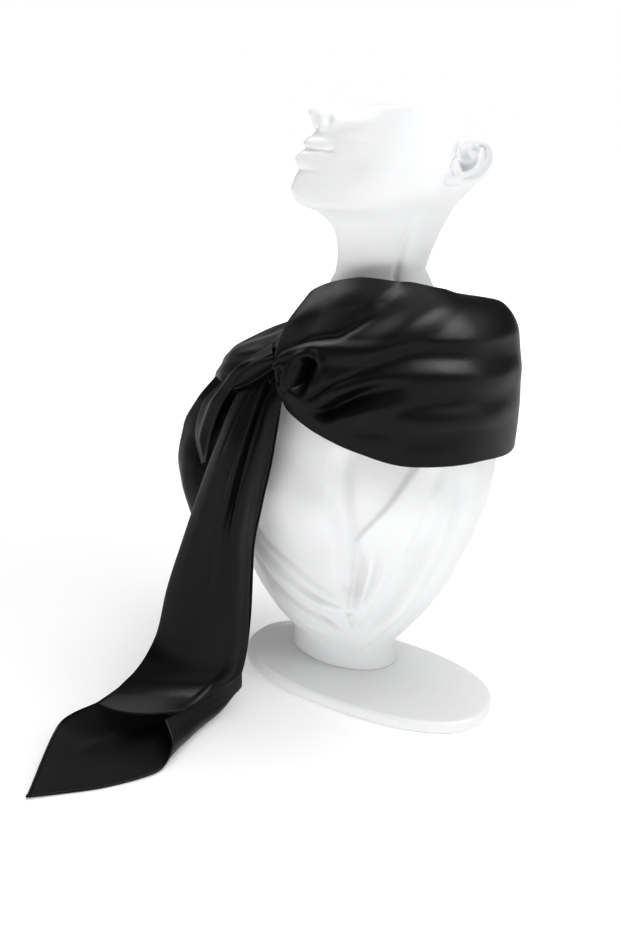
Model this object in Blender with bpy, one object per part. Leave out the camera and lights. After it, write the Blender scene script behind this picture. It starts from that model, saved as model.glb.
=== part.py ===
"""A black satin scarf worn round the shoulders of a white display bust.

The scarf is a 90 cm square with rolled hems, folded corner to corner into a wide band.
It goes over both shoulders, is caught in front of the bust's right shoulder, and one long
end hangs to the floor while the short end falls over the far shoulder.
Units are metres, +Z is up, the bust's chest looks along -Y and its left is +X.
The origin is the middle of the underside of the oval base.
"""
import math

import bmesh
import bpy
import numpy as np
from mathutils import Vector

# Driving sizes
SEAM = 0.0003               # gap kept between neighbouring pieces
FOLDED = 0.0018             # wall of the scarf where two layers lie together
SINGLE = 0.0013             # wall of the scarf where one layer shows
WRAP_AXIS = (0.0, 0.010)    # upright line that the band is wound about

SEAM_TURN = math.degrees(SEAM / 0.066)  # the same gap as a turn about the wrap axis

BASE_HALF_LENGTH = 0.1265
BASE_HALF_WIDTH = 0.0605
BASE_HEIGHT = 0.012
BASE_SQUARENESS = 2.4       # 2 is an ellipse, more is squarer
BASE_EDGE = 0.0025

NECK_AXIS = (0.007, 0.013)
FACING = math.radians(209.7)    # compass angle that the head looks along


def through(knots, values, where):
    """Smooth curve through a column of a table that never overshoots its rows."""
    knots = np.asarray(knots, float)
    values = np.asarray(values, float)
    where = np.clip(where, knots[0], knots[-1])
    step = np.diff(knots)
    slope = np.diff(values) / step
    tangent = np.zeros(len(knots))
    tangent[0] = slope[0]
    tangent[-1] = slope[-1]
    for i in range(1, len(knots) - 1):
        if slope[i - 1] * slope[i] > 0:
            before = 2 * step[i] + step[i - 1]
            after = step[i] + 2 * step[i - 1]
            tangent[i] = (before + after) / (before / slope[i - 1] + after / slope[i])
    i = np.clip(np.searchsorted(knots, where, side="right") - 1, 0, len(step) - 1)
    t = (where - knots[i]) / step[i]
    return (
        (1 + 2 * t) * (1 - t) ** 2 * values[i]
        + t * (1 - t) ** 2 * step[i] * tangent[i]
        + t * t * (3 - 2 * t) * values[i + 1]
        + t * t * (t - 1) * step[i] * tangent[i + 1]
    )


class Table:
    """Rows of named columns; the first column says where along the piece a row lies."""

    def __init__(self, names, *rows):
        self.columns = dict(zip(names.split(), np.array(rows, float).T))
        self.along = next(iter(self.columns.values()))

    def __call__(self, name, where):
        return through(self.along, self.columns[name], where)


def hump(distance, half):
    """A soft rise: 1 in the middle, 0 from half away."""
    near = np.clip(1 - (distance / half) ** 2, 0, 1)
    return near * near


# Folds run straight in a sheet's own (along, across) square; a positive height is a ridge
FOLD_COLUMNS = "along0 across0 along1 across1 half height"


def folded(folds, along, across, long_side, short_side):
    """Height of all the folds of a sheet at (along, across), in metres."""
    total = np.zeros_like(along)
    for along0, across0, along1, across1, half, height in folds:
        a = np.array([along0 * long_side, across0 * short_side])
        b = np.array([along1 * long_side, across1 * short_side])
        line = b - a
        length = np.linalg.norm(line)
        px = along * long_side - a[0]
        py = across * short_side - a[1]
        s = (px * line[0] + py * line[1]) / length**2
        off = (px * line[1] - py * line[0]) / length
        ends = hump(s - 0.5, 0.72)
        total += height * hump(off, half) * ends
    return total


def normals(points, nu, nv):
    """Unit normals of a sheet whose points are laid out nu by nv."""
    grid = points.reshape(nu, nv, 3)
    du = np.gradient(grid, axis=0)
    dv = np.gradient(grid, axis=1)
    n = np.cross(du, dv)
    length = np.linalg.norm(n, axis=2, keepdims=True)
    return (n / np.maximum(length, 1e-12)).reshape(-1, 3)


def material(name, colour, roughness, metallic=0.0):
    m = bpy.data.materials.new(name)
    m.use_nodes = True
    m.diffuse_color = (*colour, 1)
    shader = m.node_tree.nodes["Principled BSDF"]
    shader.inputs["Base Color"].default_value = (*colour, 1)
    shader.inputs["Roughness"].default_value = roughness
    shader.inputs["Metallic"].default_value = metallic
    return m


def add_object(name, bm, look, smooth=True):
    mesh = bpy.data.meshes.new(name)
    bm.to_mesh(mesh)
    bm.free()
    mesh.materials.append(look)
    if smooth:
        mesh.shade_smooth()
    thing = bpy.data.objects.new(name, mesh)
    bpy.context.scene.collection.objects.link(thing)
    return thing


def cloth(name, place, nu, nv, thickness, look):
    """A sheet laid by place(along, across), given its wall by a Solidify modifier."""
    bm = bmesh.new()
    bmesh.ops.create_grid(bm, x_segments=nu, y_segments=nv, size=0.5)
    along = np.array([v.co.x + 0.5 for v in bm.verts])
    across = np.array([v.co.y + 0.5 for v in bm.verts])
    for v, p in zip(bm.verts, place(along, across)):
        v.co = Vector(p)
    thing = add_object(name, bm, look)
    wall = thing.modifiers.new("Wall", "SOLIDIFY")
    wall.thickness = thickness
    wall.offset = 0
    return thing


def at_azimuth(azimuth, radius, height):
    """Points round the wrap axis from compass angles in degrees, radii and heights."""
    a = np.radians(azimuth)
    x = WRAP_AXIS[0] + radius * np.cos(a)
    y = WRAP_AXIS[1] + radius * np.sin(a)
    return np.stack([x, y, height], axis=-1)


# The band, in sections round the neck: each has five stations from its top edge down.
# azimuth is the section's compass angle, top_turn and low_turn how far its ends stray.
BAND_COLUMNS = "azimuth top_turn low_turn r0 z0 r1 z1 r2 z2 r3 z3 r4 z4"
BAND = Table(
    BAND_COLUMNS,
    (-121, 0, 12, 0.078, 0.368, 0.094, 0.356, 0.106, 0.338, 0.109, 0.320, 0.104, 0.303),
    (-109, -5, 6, 0.067, 0.386, 0.088, 0.367, 0.104, 0.340, 0.108, 0.316, 0.104, 0.296),
    (-95, -3, 4, 0.061, 0.394, 0.083, 0.372, 0.100, 0.342, 0.106, 0.312, 0.103, 0.286),
    (-74, 0, 2, 0.062, 0.399, 0.085, 0.377, 0.104, 0.346, 0.111, 0.308, 0.109, 0.277),
    (-50, 0, 0, 0.070, 0.397, 0.094, 0.381, 0.113, 0.352, 0.120, 0.308, 0.119, 0.269),
    (-26, 0, 0, 0.072, 0.391, 0.102, 0.381, 0.123, 0.356, 0.128, 0.310, 0.126, 0.268),
    (-4, 0, 0, 0.068, 0.383, 0.103, 0.380, 0.122, 0.360, 0.127, 0.314, 0.125, 0.263),
    (22, 0, 0, 0.066, 0.376, 0.092, 0.371, 0.108, 0.350, 0.113, 0.308, 0.111, 0.264),
    (50, 0, 0, 0.064, 0.370, 0.084, 0.364, 0.097, 0.345, 0.101, 0.306, 0.098, 0.265),
    (90, 0, 0, 0.066, 0.362, 0.076, 0.354, 0.084, 0.338, 0.088, 0.304, 0.086, 0.264),
    (130, 0, 0, 0.070, 0.358, 0.088, 0.350, 0.104, 0.330, 0.110, 0.294, 0.107, 0.256),
    (160, 0, 0, 0.073, 0.352, 0.102, 0.342, 0.128, 0.322, 0.138, 0.288, 0.134, 0.250),
    (185, 0, 0, 0.074, 0.347, 0.108, 0.332, 0.138, 0.313, 0.152, 0.285, 0.148, 0.252),
    (205, 0, 0, 0.072, 0.350, 0.102, 0.337, 0.124, 0.321, 0.136, 0.299, 0.135, 0.272),
    (222, 0, 0, 0.074, 0.355, 0.086, 0.344, 0.096, 0.329, 0.100, 0.310, 0.098, 0.293),
    (234, 0, 0, 0.078, 0.357, 0.085, 0.346, 0.090, 0.333, 0.092, 0.318, 0.091, 0.305),
)


def band_place(start, end, outward=0.0, folds=(), long_side=0.2, top=0.0, low=1.0):
    """Laying rule for the stretch of band between two compass angles."""

    def place(along, across):
        azimuth = start + (end - start) * along
        level = top + (low - top) * across
        knots = np.array([0.0, 0.25, 0.5, 0.75, 1.0])
        r = [BAND(f"r{i}", azimuth) for i in range(5)]
        z = [BAND(f"z{i}", azimuth) for i in range(5)]
        radius = np.empty_like(along)
        height = np.empty_like(along)
        for j in range(len(along)):
            radius[j] = through(knots, [c[j] for c in r], level[j])
            height[j] = through(knots, [c[j] for c in z], level[j])
        turn = BAND("top_turn", azimuth) * (1 - level) + BAND("low_turn", azimuth) * level
        lift = outward + folded(folds, along, across, long_side, 0.14)
        return at_azimuth(azimuth + turn, radius + lift, height)

    return place


# The front stretch carries folds that fan out from the catch
FRONT_LENGTH = 0.24
FRONT_FOLDS = (
    (0.00, -0.30, 0.00, 1.30, 0.012, -0.0070),  # edge turned in over the long end
    (0.02, 0.50, 0.25, 0.42, 0.010, 0.005),    # bright crease from the catch
    (0.22, 0.42, 0.85, 0.37, 0.013, 0.005),
    (0.08, 0.38, 0.30, 0.36, 0.009, -0.005),   # valley that climbs to the top edge
    (0.26, 0.37, 0.55, 0.12, 0.012, -0.006),
    (0.36, 0.52, 0.60, 0.53, 0.012, -0.003),
    (0.18, 0.47, 0.13, 0.74, 0.011, -0.013),   # deep pocket
    (0.17, 0.44, 0.09, 0.80, 0.006, 0.004),    # rolled lip beside the pocket
    (0.19, 0.63, 0.44, 0.74, 0.014, -0.008),
    (0.22, 0.56, 0.46, 0.65, 0.012, 0.005),
    (0.44, 0.67, 0.74, 0.74, 0.010, -0.004),
    (0.32, 0.85, 0.43, 0.82, 0.006, -0.002),
    (0.46, 0.86, 0.56, 0.86, 0.006, -0.002),
)

# The long end, down from the catch: left and right edges, and how far the front bulges
EDGE_COLUMNS = "station lx ly lz rx ry rz bulge lie"
LONG_FRONT = Table(
    EDGE_COLUMNS,
    (0.00, -0.071, -0.076, 0.320, -0.038, -0.0802, 0.316, 0.003, 0),
    (0.08, -0.081, -0.088, 0.298, -0.043, -0.084, 0.293, 0.009, 0),
    (0.18, -0.092, -0.098, 0.264, -0.047, -0.090, 0.258, 0.014, 0),
    (0.32, -0.105, -0.109, 0.220, -0.057, -0.092, 0.213, 0.016, 0),
    (0.46, -0.119, -0.119, 0.172, -0.067, -0.093, 0.163, 0.017, 0),
    (0.60, -0.132, -0.130, 0.122, -0.069, -0.096, 0.112, 0.017, 0),
    (0.71, -0.137, -0.140, 0.085, -0.070, -0.099, 0.074, 0.014, 0.2),
    (0.79, -0.144, -0.151, 0.063, -0.073, -0.104, 0.047, 0.010, 0.6),
    (0.86, -0.150, -0.167, 0.048, -0.080, -0.120, 0.037, 0.006, 1),
    (0.93, -0.158, -0.188, 0.039, -0.089, -0.148, 0.035, 0.003, 1),
    (1.00, -0.173, -0.210, 0.033, -0.099, -0.180, 0.0350, 0.001, 1),
)
LONG_UNDER = Table(
    EDGE_COLUMNS,
    (0.00, -0.0704, -0.0751, 0.3188, -0.040, -0.0783, 0.314, -0.001, 0),
    (0.10, -0.079, -0.083, 0.294, -0.045, -0.078, 0.290, -0.002, 0),
    (0.24, -0.087, -0.092, 0.258, -0.049, -0.083, 0.254, -0.003, 0),
    (0.42, -0.099, -0.103, 0.214, -0.059, -0.085, 0.209, -0.004, 0),
    (0.60, -0.113, -0.112, 0.166, -0.069, -0.086, 0.160, -0.004, 0),
    (0.80, -0.127, -0.123, 0.117, -0.071, -0.089, 0.107, -0.004, 0),
    (0.92, -0.135, -0.133, 0.082, -0.074, -0.091, 0.058, -0.003, 0),
    (1.00, -0.143, -0.144, 0.057, -0.083, -0.0979, 0.014, -0.002, 0),
)


def between_edges(table, along):
    """Left edge, right edge and outward direction of a strip at each station."""
    left = np.stack([table(k, along) for k in ("lx", "ly", "lz")], axis=-1)
    right = np.stack([table(k, along) for k in ("rx", "ry", "rz")], axis=-1)
    run = 0
    for names in (("lx", "ly", "lz"), ("rx", "ry", "rz")):
        ahead = [table(k, along + 0.01) - table(k, along - 0.01) for k in names]
        run = run + np.stack(ahead, axis=-1)
    out = np.cross(run, right - left)
    out /= np.linalg.norm(out, axis=-1, keepdims=True)
    return left, right, out


def strip_place(table, folds=(), long_side=0.4, short_side=0.08):
    """Laying rule for a strip that hangs between its two edges."""

    def place(along, across):
        left, right, out = between_edges(table, along)
        rise = table("bulge", along) * np.sin(np.pi * np.clip(across, 0, 1)) ** 0.6
        rise += folded(folds, along, across, long_side, short_side)
        return left + (right - left) * across[:, None] + out * rise[:, None]

    return place


LONG_FOLDS = (
    (0.00, 0.64, 0.34, 0.60, 0.010, -0.006),
    (0.30, 0.60, 0.74, 0.82, 0.013, -0.006),
    (0.00, 0.52, 0.42, 0.48, 0.012, 0.004),
    (0.05, 0.86, 0.70, 0.91, 0.010, 0.003),
    (0.68, 0.35, 0.70, 0.75, 0.035, -0.005),
)

# The corner lying on the floor: from its hem, along the floor, up the near side
FLOOR = SINGLE / 2
CORNER_COLUMNS = "along hx hy hz lx ly lz mx my mz fx fy fz sx sy sz tx ty tz"
CORNER_STOPS = "hlmfst"
CORNER = Table(
    CORNER_COLUMNS,
    (0.0, -0.1445, -0.146, 0.055, -0.132, -0.137, 0.045, -0.116, -0.124, 0.033,
     -0.099, -0.110, 0.020, -0.0825, -0.0995, 0.014, -0.0805, -0.106, 0.034),
    (0.3, -0.152, -0.170, 0.041, -0.138, -0.158, 0.012, -0.116, -0.140, FLOOR,
     -0.094, -0.126, FLOOR, -0.0835, -0.122, 0.013, -0.091, -0.130, 0.0325),
    (0.6, -0.162, -0.194, 0.034, -0.152, -0.190, 0.006, -0.124, -0.172, FLOOR,
     -0.096, -0.156, FLOOR, -0.0865, -0.150, 0.014, -0.097, -0.157, 0.031),
    (0.8, -0.186, -0.221, 0.021, -0.160, -0.217, 0.001, -0.125, -0.198, FLOOR,
     -0.096, -0.178, FLOOR, -0.0865, -0.170, 0.015, -0.099, -0.169, 0.0315),
    (1.0, -0.163, -0.283, 0.0015, -0.143, -0.266, FLOOR, -0.116, -0.242, FLOOR,
     -0.089, -0.206, 0.002, -0.0855, -0.191, 0.017, -0.100, -0.180, 0.033),
)


def corner_place(along, across):
    stops = np.linspace(0, 1, len(CORNER_STOPS))
    p = np.empty((len(along), 3))
    for i, axis in enumerate("xyz"):
        columns = [CORNER(k + axis, along) for k in CORNER_STOPS]
        for j in range(len(along)):
            p[j, i] = through(stops, [c[j] for c in columns], across[j])
    p[:, 2] = np.maximum(p[:, 2], FLOOR)
    return p


# The short end: a longer back layer and a smaller front one that ends in the same corner
SHORT_BACK = Table(
    EDGE_COLUMNS,
    (0.00, -0.1235, -0.0533, 0.302, -0.098, -0.0566, 0.292, 0.001, 0),
    (0.16, -0.140, -0.059, 0.281, -0.098, -0.063, 0.268, 0.003, 0),
    (0.38, -0.157, -0.059, 0.2535, -0.104, -0.066, 0.242, 0.004, 0),
    (0.62, -0.165, -0.059, 0.2225, -0.112, -0.070, 0.214, 0.006, 0),
    (0.80, -0.162, -0.060, 0.1985, -0.122, -0.071, 0.190, 0.006, 0),
    (1.00, -0.150, -0.062, 0.166, -0.137, -0.066, 0.160, 0.002, 0),
)
SHORT_FRONT = Table(
    EDGE_COLUMNS,
    (0.00, -0.052, -0.072, 0.345, -0.0470, -0.083, 0.340, 0.001, 0),
    (0.22, -0.082, -0.069, 0.326, -0.0705, -0.084, 0.326, 0.003, 0),
    (0.42, -0.106, -0.068, 0.304, -0.0865, -0.085, 0.306, 0.004, 0),
    (0.62, -0.126, -0.071, 0.282, -0.0985, -0.086, 0.287, 0.005, 0),
    (0.80, -0.133, -0.074, 0.256, -0.1075, -0.086, 0.2655, 0.004, 0),
    (1.00, -0.125, -0.078, 0.228, -0.1175, -0.083, 0.234, 0.001, 0),
)
LEAF = Table(
    EDGE_COLUMNS,
    (0.00, -0.0432, -0.0885, 0.3385, -0.0432, -0.0885, 0.331, -0.002, 0),
    (0.35, -0.061, -0.089, 0.3315, -0.058, -0.089, 0.320, -0.0025, 0),
    (0.70, -0.0755, -0.088, 0.3205, -0.071, -0.088, 0.312, -0.002, 0),
    (1.00, -0.0845, -0.087, 0.3095, -0.082, -0.087, 0.3075, -0.001, 0),
)


def build_base(look):
    bm = bmesh.new()
    bmesh.ops.create_cone(
        bm, cap_ends=True, segments=72, radius1=1, radius2=1, depth=BASE_HEIGHT
    )
    for v in bm.verts:
        angle = math.atan2(v.co.y, v.co.x)
        c = math.cos(angle)
        s = math.sin(angle)
        p = 2 / BASE_SQUARENESS
        v.co.x = BASE_HALF_LENGTH * math.copysign(abs(c) ** p, c)
        v.co.y = BASE_HALF_WIDTH * math.copysign(abs(s) ** p, s)
        v.co.z += BASE_HEIGHT / 2
    rims = [e for e in bm.edges if abs(e.verts[0].co.z - e.verts[1].co.z) < 1e-6]
    bmesh.ops.bevel(bm, geom=rims, offset=BASE_EDGE, segments=2, affect="EDGES")
    return add_object("display_base", bm, look, smooth=False)


# The bust from its foot to the shoulders, in level rings: middle, half width, chest, back
TORSO_COLUMNS = "z x y half front back tilt"
TORSO = Table(
    TORSO_COLUMNS,
    (0.0123, -0.033, 0.022, 0.056, 0.036, 0.034, 0),
    (0.030, -0.033, 0.021, 0.053, 0.036, 0.034, 0),
    (0.060, -0.036, 0.019, 0.074, 0.046, 0.040, 0),
    (0.090, -0.035, 0.017, 0.093, 0.056, 0.045, 0),
    (0.125, -0.030, 0.014, 0.107, 0.064, 0.050, 0),
    (0.170, -0.019, 0.012, 0.112, 0.072, 0.055, 0),
    (0.215, -0.008, 0.011, 0.115, 0.078, 0.058, 0.02),
    (0.260, -0.002, 0.011, 0.113, 0.076, 0.060, 0.06),
    (0.300, 0.002, 0.011, 0.112, 0.066, 0.058, 0.12),
    (0.325, 0.004, 0.011, 0.106, 0.055, 0.052, 0.15),
    (0.345, 0.005, 0.012, 0.094, 0.047, 0.052, 0.16),
    (0.360, 0.010, 0.012, 0.0750, 0.043, 0.0515, 0.14),
    (0.374, 0.005, 0.012, 0.055, 0.041, 0.0475, 0.06),
)

# Neck and head: rings that tilt with the chin, in the head's middle plane.
# f is forward from the neck axis; nose, lips and chin stand out by relief and lift.
HEAD_COLUMNS = "station front_f front_z back_f back_z half relief lift spread arch"
HEAD = Table(
    HEAD_COLUMNS,
    (0, 0.044, 0.394, -0.030, 0.398, 0.037, 0, 0, 0.012, 0),
    (1, 0.042, 0.411, -0.034, 0.412, 0.037, 0, 0, 0.012, 0),
    (2, 0.043, 0.426, -0.040, 0.427, 0.038, 0, 0, 0.012, 0),
    (3, 0.050, 0.437, -0.046, 0.439, 0.042, 0, 0, 0.012, 0),
    (4, 0.061, 0.444, -0.052, 0.449, 0.048, 0, 0, 0.014, 0),
    (5, 0.072, 0.451, -0.060, 0.458, 0.053, 0.002, 0, 0.014, 0),
    (6, 0.076, 0.461, -0.068, 0.465, 0.056, 0.004, 0, 0.014, 0),
    (7, 0.071, 0.474, -0.074, 0.472, 0.059, 0.002, 0, 0.015, 0),
    (8, 0.067, 0.484, -0.077, 0.478, 0.060, 0.009, 0, 0.014, 0),
    (9, 0.064, 0.490, -0.078, 0.482, 0.060, 0.005, 0, 0.015, 0),
    (10, 0.061, 0.496, -0.078, 0.486, 0.060, 0.009, 0, 0.013, 0),
    (11, 0.055, 0.504, -0.077, 0.490, 0.060, 0.007, 0, 0.010, 0.003),
    (12, 0.046, 0.513, -0.075, 0.495, 0.059, 0.021, 0.004, 0.009, 0.006),
    (13, 0.036, 0.519, -0.070, 0.501, 0.056, 0.008, 0.010, 0.007, 0.01),
)
EAR_SIZE = (0.0185, 0.0060, 0.0185)  # half sizes along the head, outward and up
EAR_FORWARD = -0.055
EAR_HEIGHT = 0.481
EAR_OUT = 0.0475
EAR_FLARE = math.radians(38)


def ring(middle, ahead, aside, count, relief=0.0, lift=0.0, spread=0.012, arch=0.0):
    """One ring of points, set closer together where the head looks."""
    points = []
    for k in range(count):
        turn = 2 * math.pi * k / count
        turn -= 0.42 * math.sin(turn)
        p = middle + ahead * math.cos(turn) + aside * math.sin(turn)
        p = p + Vector((0, 0, arch * math.sin(turn) ** 2))
        if relief and math.cos(turn) > 0:
            off = aside.length * math.sin(turn) / spread
            share = math.exp(-off * off)
            p = p + ahead.normalized() * relief * share + Vector((0, 0, lift * share))
        points.append(p)
    return points


def bust_rings(count, torso_rows, head_rows):
    """All the rings of the bust from foot to crown."""
    forward = Vector((math.cos(FACING), math.sin(FACING), 0))
    sideways = Vector((-forward.y, forward.x, 0))
    axis = Vector((*NECK_AXIS, 0))
    rings = []
    for z in np.linspace(TORSO.along[0], TORSO.along[-1], torso_rows):
        x, y, half, front, back, tilt = (
            float(TORSO(k, z)) for k in "x y half front back tilt".split()
        )
        points = []
        for k in range(count):
            turn = 2 * math.pi * k / count
            turn -= 0.42 * math.sin(turn)
            turn += FACING
            depth = back if math.sin(turn) > 0 else front
            across = half * math.cos(turn)
            points.append(Vector((x + across, y + depth * math.sin(turn), z + tilt * across)))
        rings.append(points)
    for s in np.linspace(0, HEAD.along[-1], head_rows):
        row = {k: float(HEAD(k, s)) for k in HEAD_COLUMNS.split()[1:]}
        front = axis + forward * row["front_f"] + Vector((0, 0, row["front_z"]))
        back = axis + forward * row["back_f"] + Vector((0, 0, row["back_z"]))
        middle = (front + back) / 2
        rings.append(
            ring(
                middle, (front - back) / 2, sideways * row["half"], count,
                row["relief"], row["lift"], row["spread"], row["arch"],
            )
        )
    return rings


def build_bust(look, count=40, torso_rows=20, head_rows=20):
    bm = bmesh.new()
    loops = []
    for points in bust_rings(count, torso_rows, head_rows):
        loops.append([bm.verts.new(p) for p in points])
    for lower, upper in zip(loops, loops[1:]):
        for k in range(count):
            j = (k + 1) % count
            bm.faces.new((lower[k], lower[j], upper[j], upper[k]))
    bm.faces.new(reversed(loops[0]))
    bm.faces.new(loops[-1])
    bmesh.ops.recalc_face_normals(bm, faces=bm.faces)
    return add_object("display_bust", bm, look)


def join_ears(bust, look):
    """Ellipsoid ears, joined to the head by Boolean unions."""
    for side in (1, -1):
        bm = bmesh.new()
        bmesh.ops.create_uvsphere(bm, u_segments=14, v_segments=8, radius=1)
        for v in bm.verts:
            v.co = Vector(v.co[i] * EAR_SIZE[i] for i in range(3))
        ear = add_object(f"ear_{side}", bm, look)
        forward = Vector((math.cos(FACING), math.sin(FACING), 0))
        outward = Vector((-forward.y, forward.x, 0)) * side
        place = Vector((*NECK_AXIS, EAR_HEIGHT)) + forward * EAR_FORWARD + outward * EAR_OUT
        ear.location = place
        ear.rotation_euler.z = FACING - side * EAR_FLARE
        ear.hide_render = True
        ear.hide_viewport = True
        union = bust.modifiers.new("Ear", "BOOLEAN")
        union.operation = "UNION"
        union.solver = "EXACT"
        union.object = ear


def main():
    for old in list(bpy.data.objects):
        bpy.data.objects.remove(old)
    satin = material("black_satin", (0.012, 0.012, 0.014), 0.32)
    white = material("white_bust_paint", (0.86, 0.86, 0.87), 0.45)
    build_base(white)
    join_ears(build_bust(white), white)
    front = band_place(-123.5, 28, folds=FRONT_FOLDS, long_side=FRONT_LENGTH)
    cloth("scarf_front_band", front, 44, 12, FOLDED, satin)
    cloth("scarf_back_band", band_place(28 + SEAM_TURN, 150), 24, 10, FOLDED, satin)
    cloth("scarf_far_band", band_place(150 + SEAM_TURN, 234), 20, 10, FOLDED, satin)
    cloth("scarf_short_end_back", strip_place(SHORT_BACK), 14, 8, SINGLE, satin)
    cloth("scarf_short_end_front", strip_place(SHORT_FRONT), 16, 6, SINGLE, satin)
    cloth("scarf_catch_leaf", strip_place(LEAF), 8, 6, SINGLE, satin)
    long_front = strip_place(LONG_FRONT, LONG_FOLDS)
    cloth("scarf_long_end_front", long_front, 34, 14, SINGLE, satin)
    cloth("scarf_long_end_under", strip_place(LONG_UNDER), 20, 8, SINGLE, satin)
    cloth("scarf_long_end_corner", corner_place, 20, 20, SINGLE, satin)


main()
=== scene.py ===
# %% [markdown]
# # A black satin scarf on a white display bust
# The scarf is a 90 cm square with rolled hems. It is folded corner to corner, wound round the
# shoulders as a wide band and caught in front of one shoulder, and its long end runs down to
# the floor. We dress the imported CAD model: each plain solid gets a thin cloth shell with its
# folds, hems and stitches, and the bust gets a modelled face and carved drapery.

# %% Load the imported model
import math

import bmesh
import bpy
import numpy as np
from mathutils import Matrix, Vector


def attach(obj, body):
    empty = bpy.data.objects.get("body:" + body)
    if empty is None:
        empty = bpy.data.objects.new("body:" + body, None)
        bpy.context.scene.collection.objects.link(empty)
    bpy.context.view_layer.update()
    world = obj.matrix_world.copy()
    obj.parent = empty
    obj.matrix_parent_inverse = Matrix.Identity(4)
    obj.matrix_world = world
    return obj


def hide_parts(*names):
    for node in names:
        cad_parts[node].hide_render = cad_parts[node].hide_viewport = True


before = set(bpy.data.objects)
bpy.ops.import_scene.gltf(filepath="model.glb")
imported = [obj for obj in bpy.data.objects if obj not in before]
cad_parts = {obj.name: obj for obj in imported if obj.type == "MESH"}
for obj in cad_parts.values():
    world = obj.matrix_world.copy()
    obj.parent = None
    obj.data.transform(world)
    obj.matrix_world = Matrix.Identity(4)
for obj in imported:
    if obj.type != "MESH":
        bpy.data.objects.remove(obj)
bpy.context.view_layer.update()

# %% [markdown]
# ## Camera, floor and light
# The photograph was taken from a little above and to the left, quite close, so the lens and the
# place of the camera matter more than usual. A camera's matrix holds its right, up and backward
# directions as columns, and writing it down beats turning the camera by trial.

# %% Camera
RIGHT = Vector((0.869267, 0.494343, 0.0))
FORWARD = Vector((-0.457298, 0.804129, -0.379779))
UP = RIGHT.cross(FORWARD)
EYE = Vector((0.320169, -0.668259, 0.528))
FOCAL_PIXELS = 900          # focal length over the photograph's height in pixels
PHOTO_HEIGHT = 931
SENSOR = 36

camera = bpy.data.objects.new("camera", bpy.data.cameras.new("camera"))
bpy.context.scene.collection.objects.link(camera)
axes = Matrix((RIGHT, UP, -FORWARD)).transposed().to_4x4()
camera.matrix_world = Matrix.Translation(EYE) @ axes
camera.data.lens = FOCAL_PIXELS / PHOTO_HEIGHT * SENSOR
camera.data.sensor_width = SENSOR
camera.data.clip_start = 0.01
bpy.context.scene.camera = camera
print("lens", round(camera.data.lens, 2), "mm")

# %% [markdown]
# Satin shows what surrounds it. Upright cloth mirrors the white floor, cloth that faces up
# mirrors the panels above and behind, and cloth that faces the camera mirrors the dim side of
# the studio, which is what makes its deep blacks. So the floor is white paper, the soft panels
# hang above, behind and to the sides, a low one ahead lights only the paint, and the room
# itself gives little light.

# %% White floor
FLOOR_RADIUS = 9.0

bm = bmesh.new()
bmesh.ops.create_circle(bm, cap_ends=True, segments=96, radius=FLOOR_RADIUS)
floor_mesh = bpy.data.meshes.new("studio_floor")
bm.to_mesh(floor_mesh)
bm.free()
studio_floor = bpy.data.objects.new("studio_floor", floor_mesh)
bpy.context.scene.collection.objects.link(studio_floor)
print("floor", 2 * FLOOR_RADIUS, "m across")

# %% Soft panels
def panel(name, place, look_at, size, watts, mirrored=True, lights=True):
    """A soft panel; one that isn't mirrored lights only paint, one that doesn't light only gloss."""
    lamp = bpy.data.lights.new(name, "AREA")
    lamp.shape = "RECTANGLE"
    lamp.size = size[0]
    lamp.size_y = size[1]
    lamp.energy = watts
    thing = bpy.data.objects.new(name, lamp)
    thing.location = place
    aim = Vector(look_at) - Vector(place)
    thing.rotation_euler = aim.to_track_quat("-Z", "Y").to_euler()
    thing.visible_camera = False
    thing.visible_glossy = mirrored
    thing.visible_diffuse = lights
    bpy.context.scene.collection.objects.link(thing)


HEART = (-0.02, -0.03, 0.28)
panel("panel_above", (0.40, 0.10, 1.9), HEART, (1.4, 1.3), 28, mirrored=False)
panel("gloss_above", (0.80, -0.15, 1.9), HEART, (1.0, 1.0), 60, lights=False)
panel("panel_left", (-1.9, 0.1, 1.1), HEART, (1.0, 1.6), 2)
panel("panel_right", (1.7, 0.1, 1.0), HEART, (0.9, 1.4), 8)
panel("fill_ahead", (0.0, -1.2, 0.12), (0, 0, 0.2), (1.2, 0.2), 5.3, mirrored=False)
panel("gloss_left", (-1.1, 0.34, 1.65), HEART, (1.0, 1.0), 20, lights=False)
print("panels:", [(lamp.name, round(lamp.energy, 1)) for lamp in bpy.data.lights])

# %% [markdown]
# The room is dim where it lights the cloth, but a backdrop behind a product is white. The world
# shader therefore has three strengths: for rays that come straight from the camera, for what
# gloss mirrors, and for all the other light it casts.

# %% Room
ROOM_LIGHT = 0.26
ROOM_MIRRORED = 0.07

world = bpy.data.worlds.new("studio")
world.use_nodes = True
sky = world.node_tree.nodes["Background"]
sky.inputs["Color"].default_value = (1, 1, 1, 1)
rays = world.node_tree.nodes.new("ShaderNodeLightPath")
cast = world.node_tree.nodes.new("ShaderNodeMapRange")
cast.inputs["To Min"].default_value = ROOM_LIGHT
cast.inputs["To Max"].default_value = ROOM_MIRRORED
seen = world.node_tree.nodes.new("ShaderNodeMapRange")
seen.inputs["To Max"].default_value = 1.0
world.node_tree.links.new(rays.outputs["Is Glossy Ray"], cast.inputs["Value"])
world.node_tree.links.new(cast.outputs["Result"], seen.inputs["To Min"])
world.node_tree.links.new(rays.outputs["Is Camera Ray"], seen.inputs["Value"])
world.node_tree.links.new(seen.outputs["Result"], sky.inputs["Strength"])
bpy.context.scene.world = world
bpy.context.scene.view_settings.view_transform = "Standard"
print("room light", ROOM_LIGHT, "and in the gloss", ROOM_MIRRORED)

# %% [markdown]
# ## Shader maths
# A small class wraps a socket, so masks and bumps can be written as sums. Every other node comes
# from one method, which takes the node's type, its settings and what goes into it.

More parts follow.
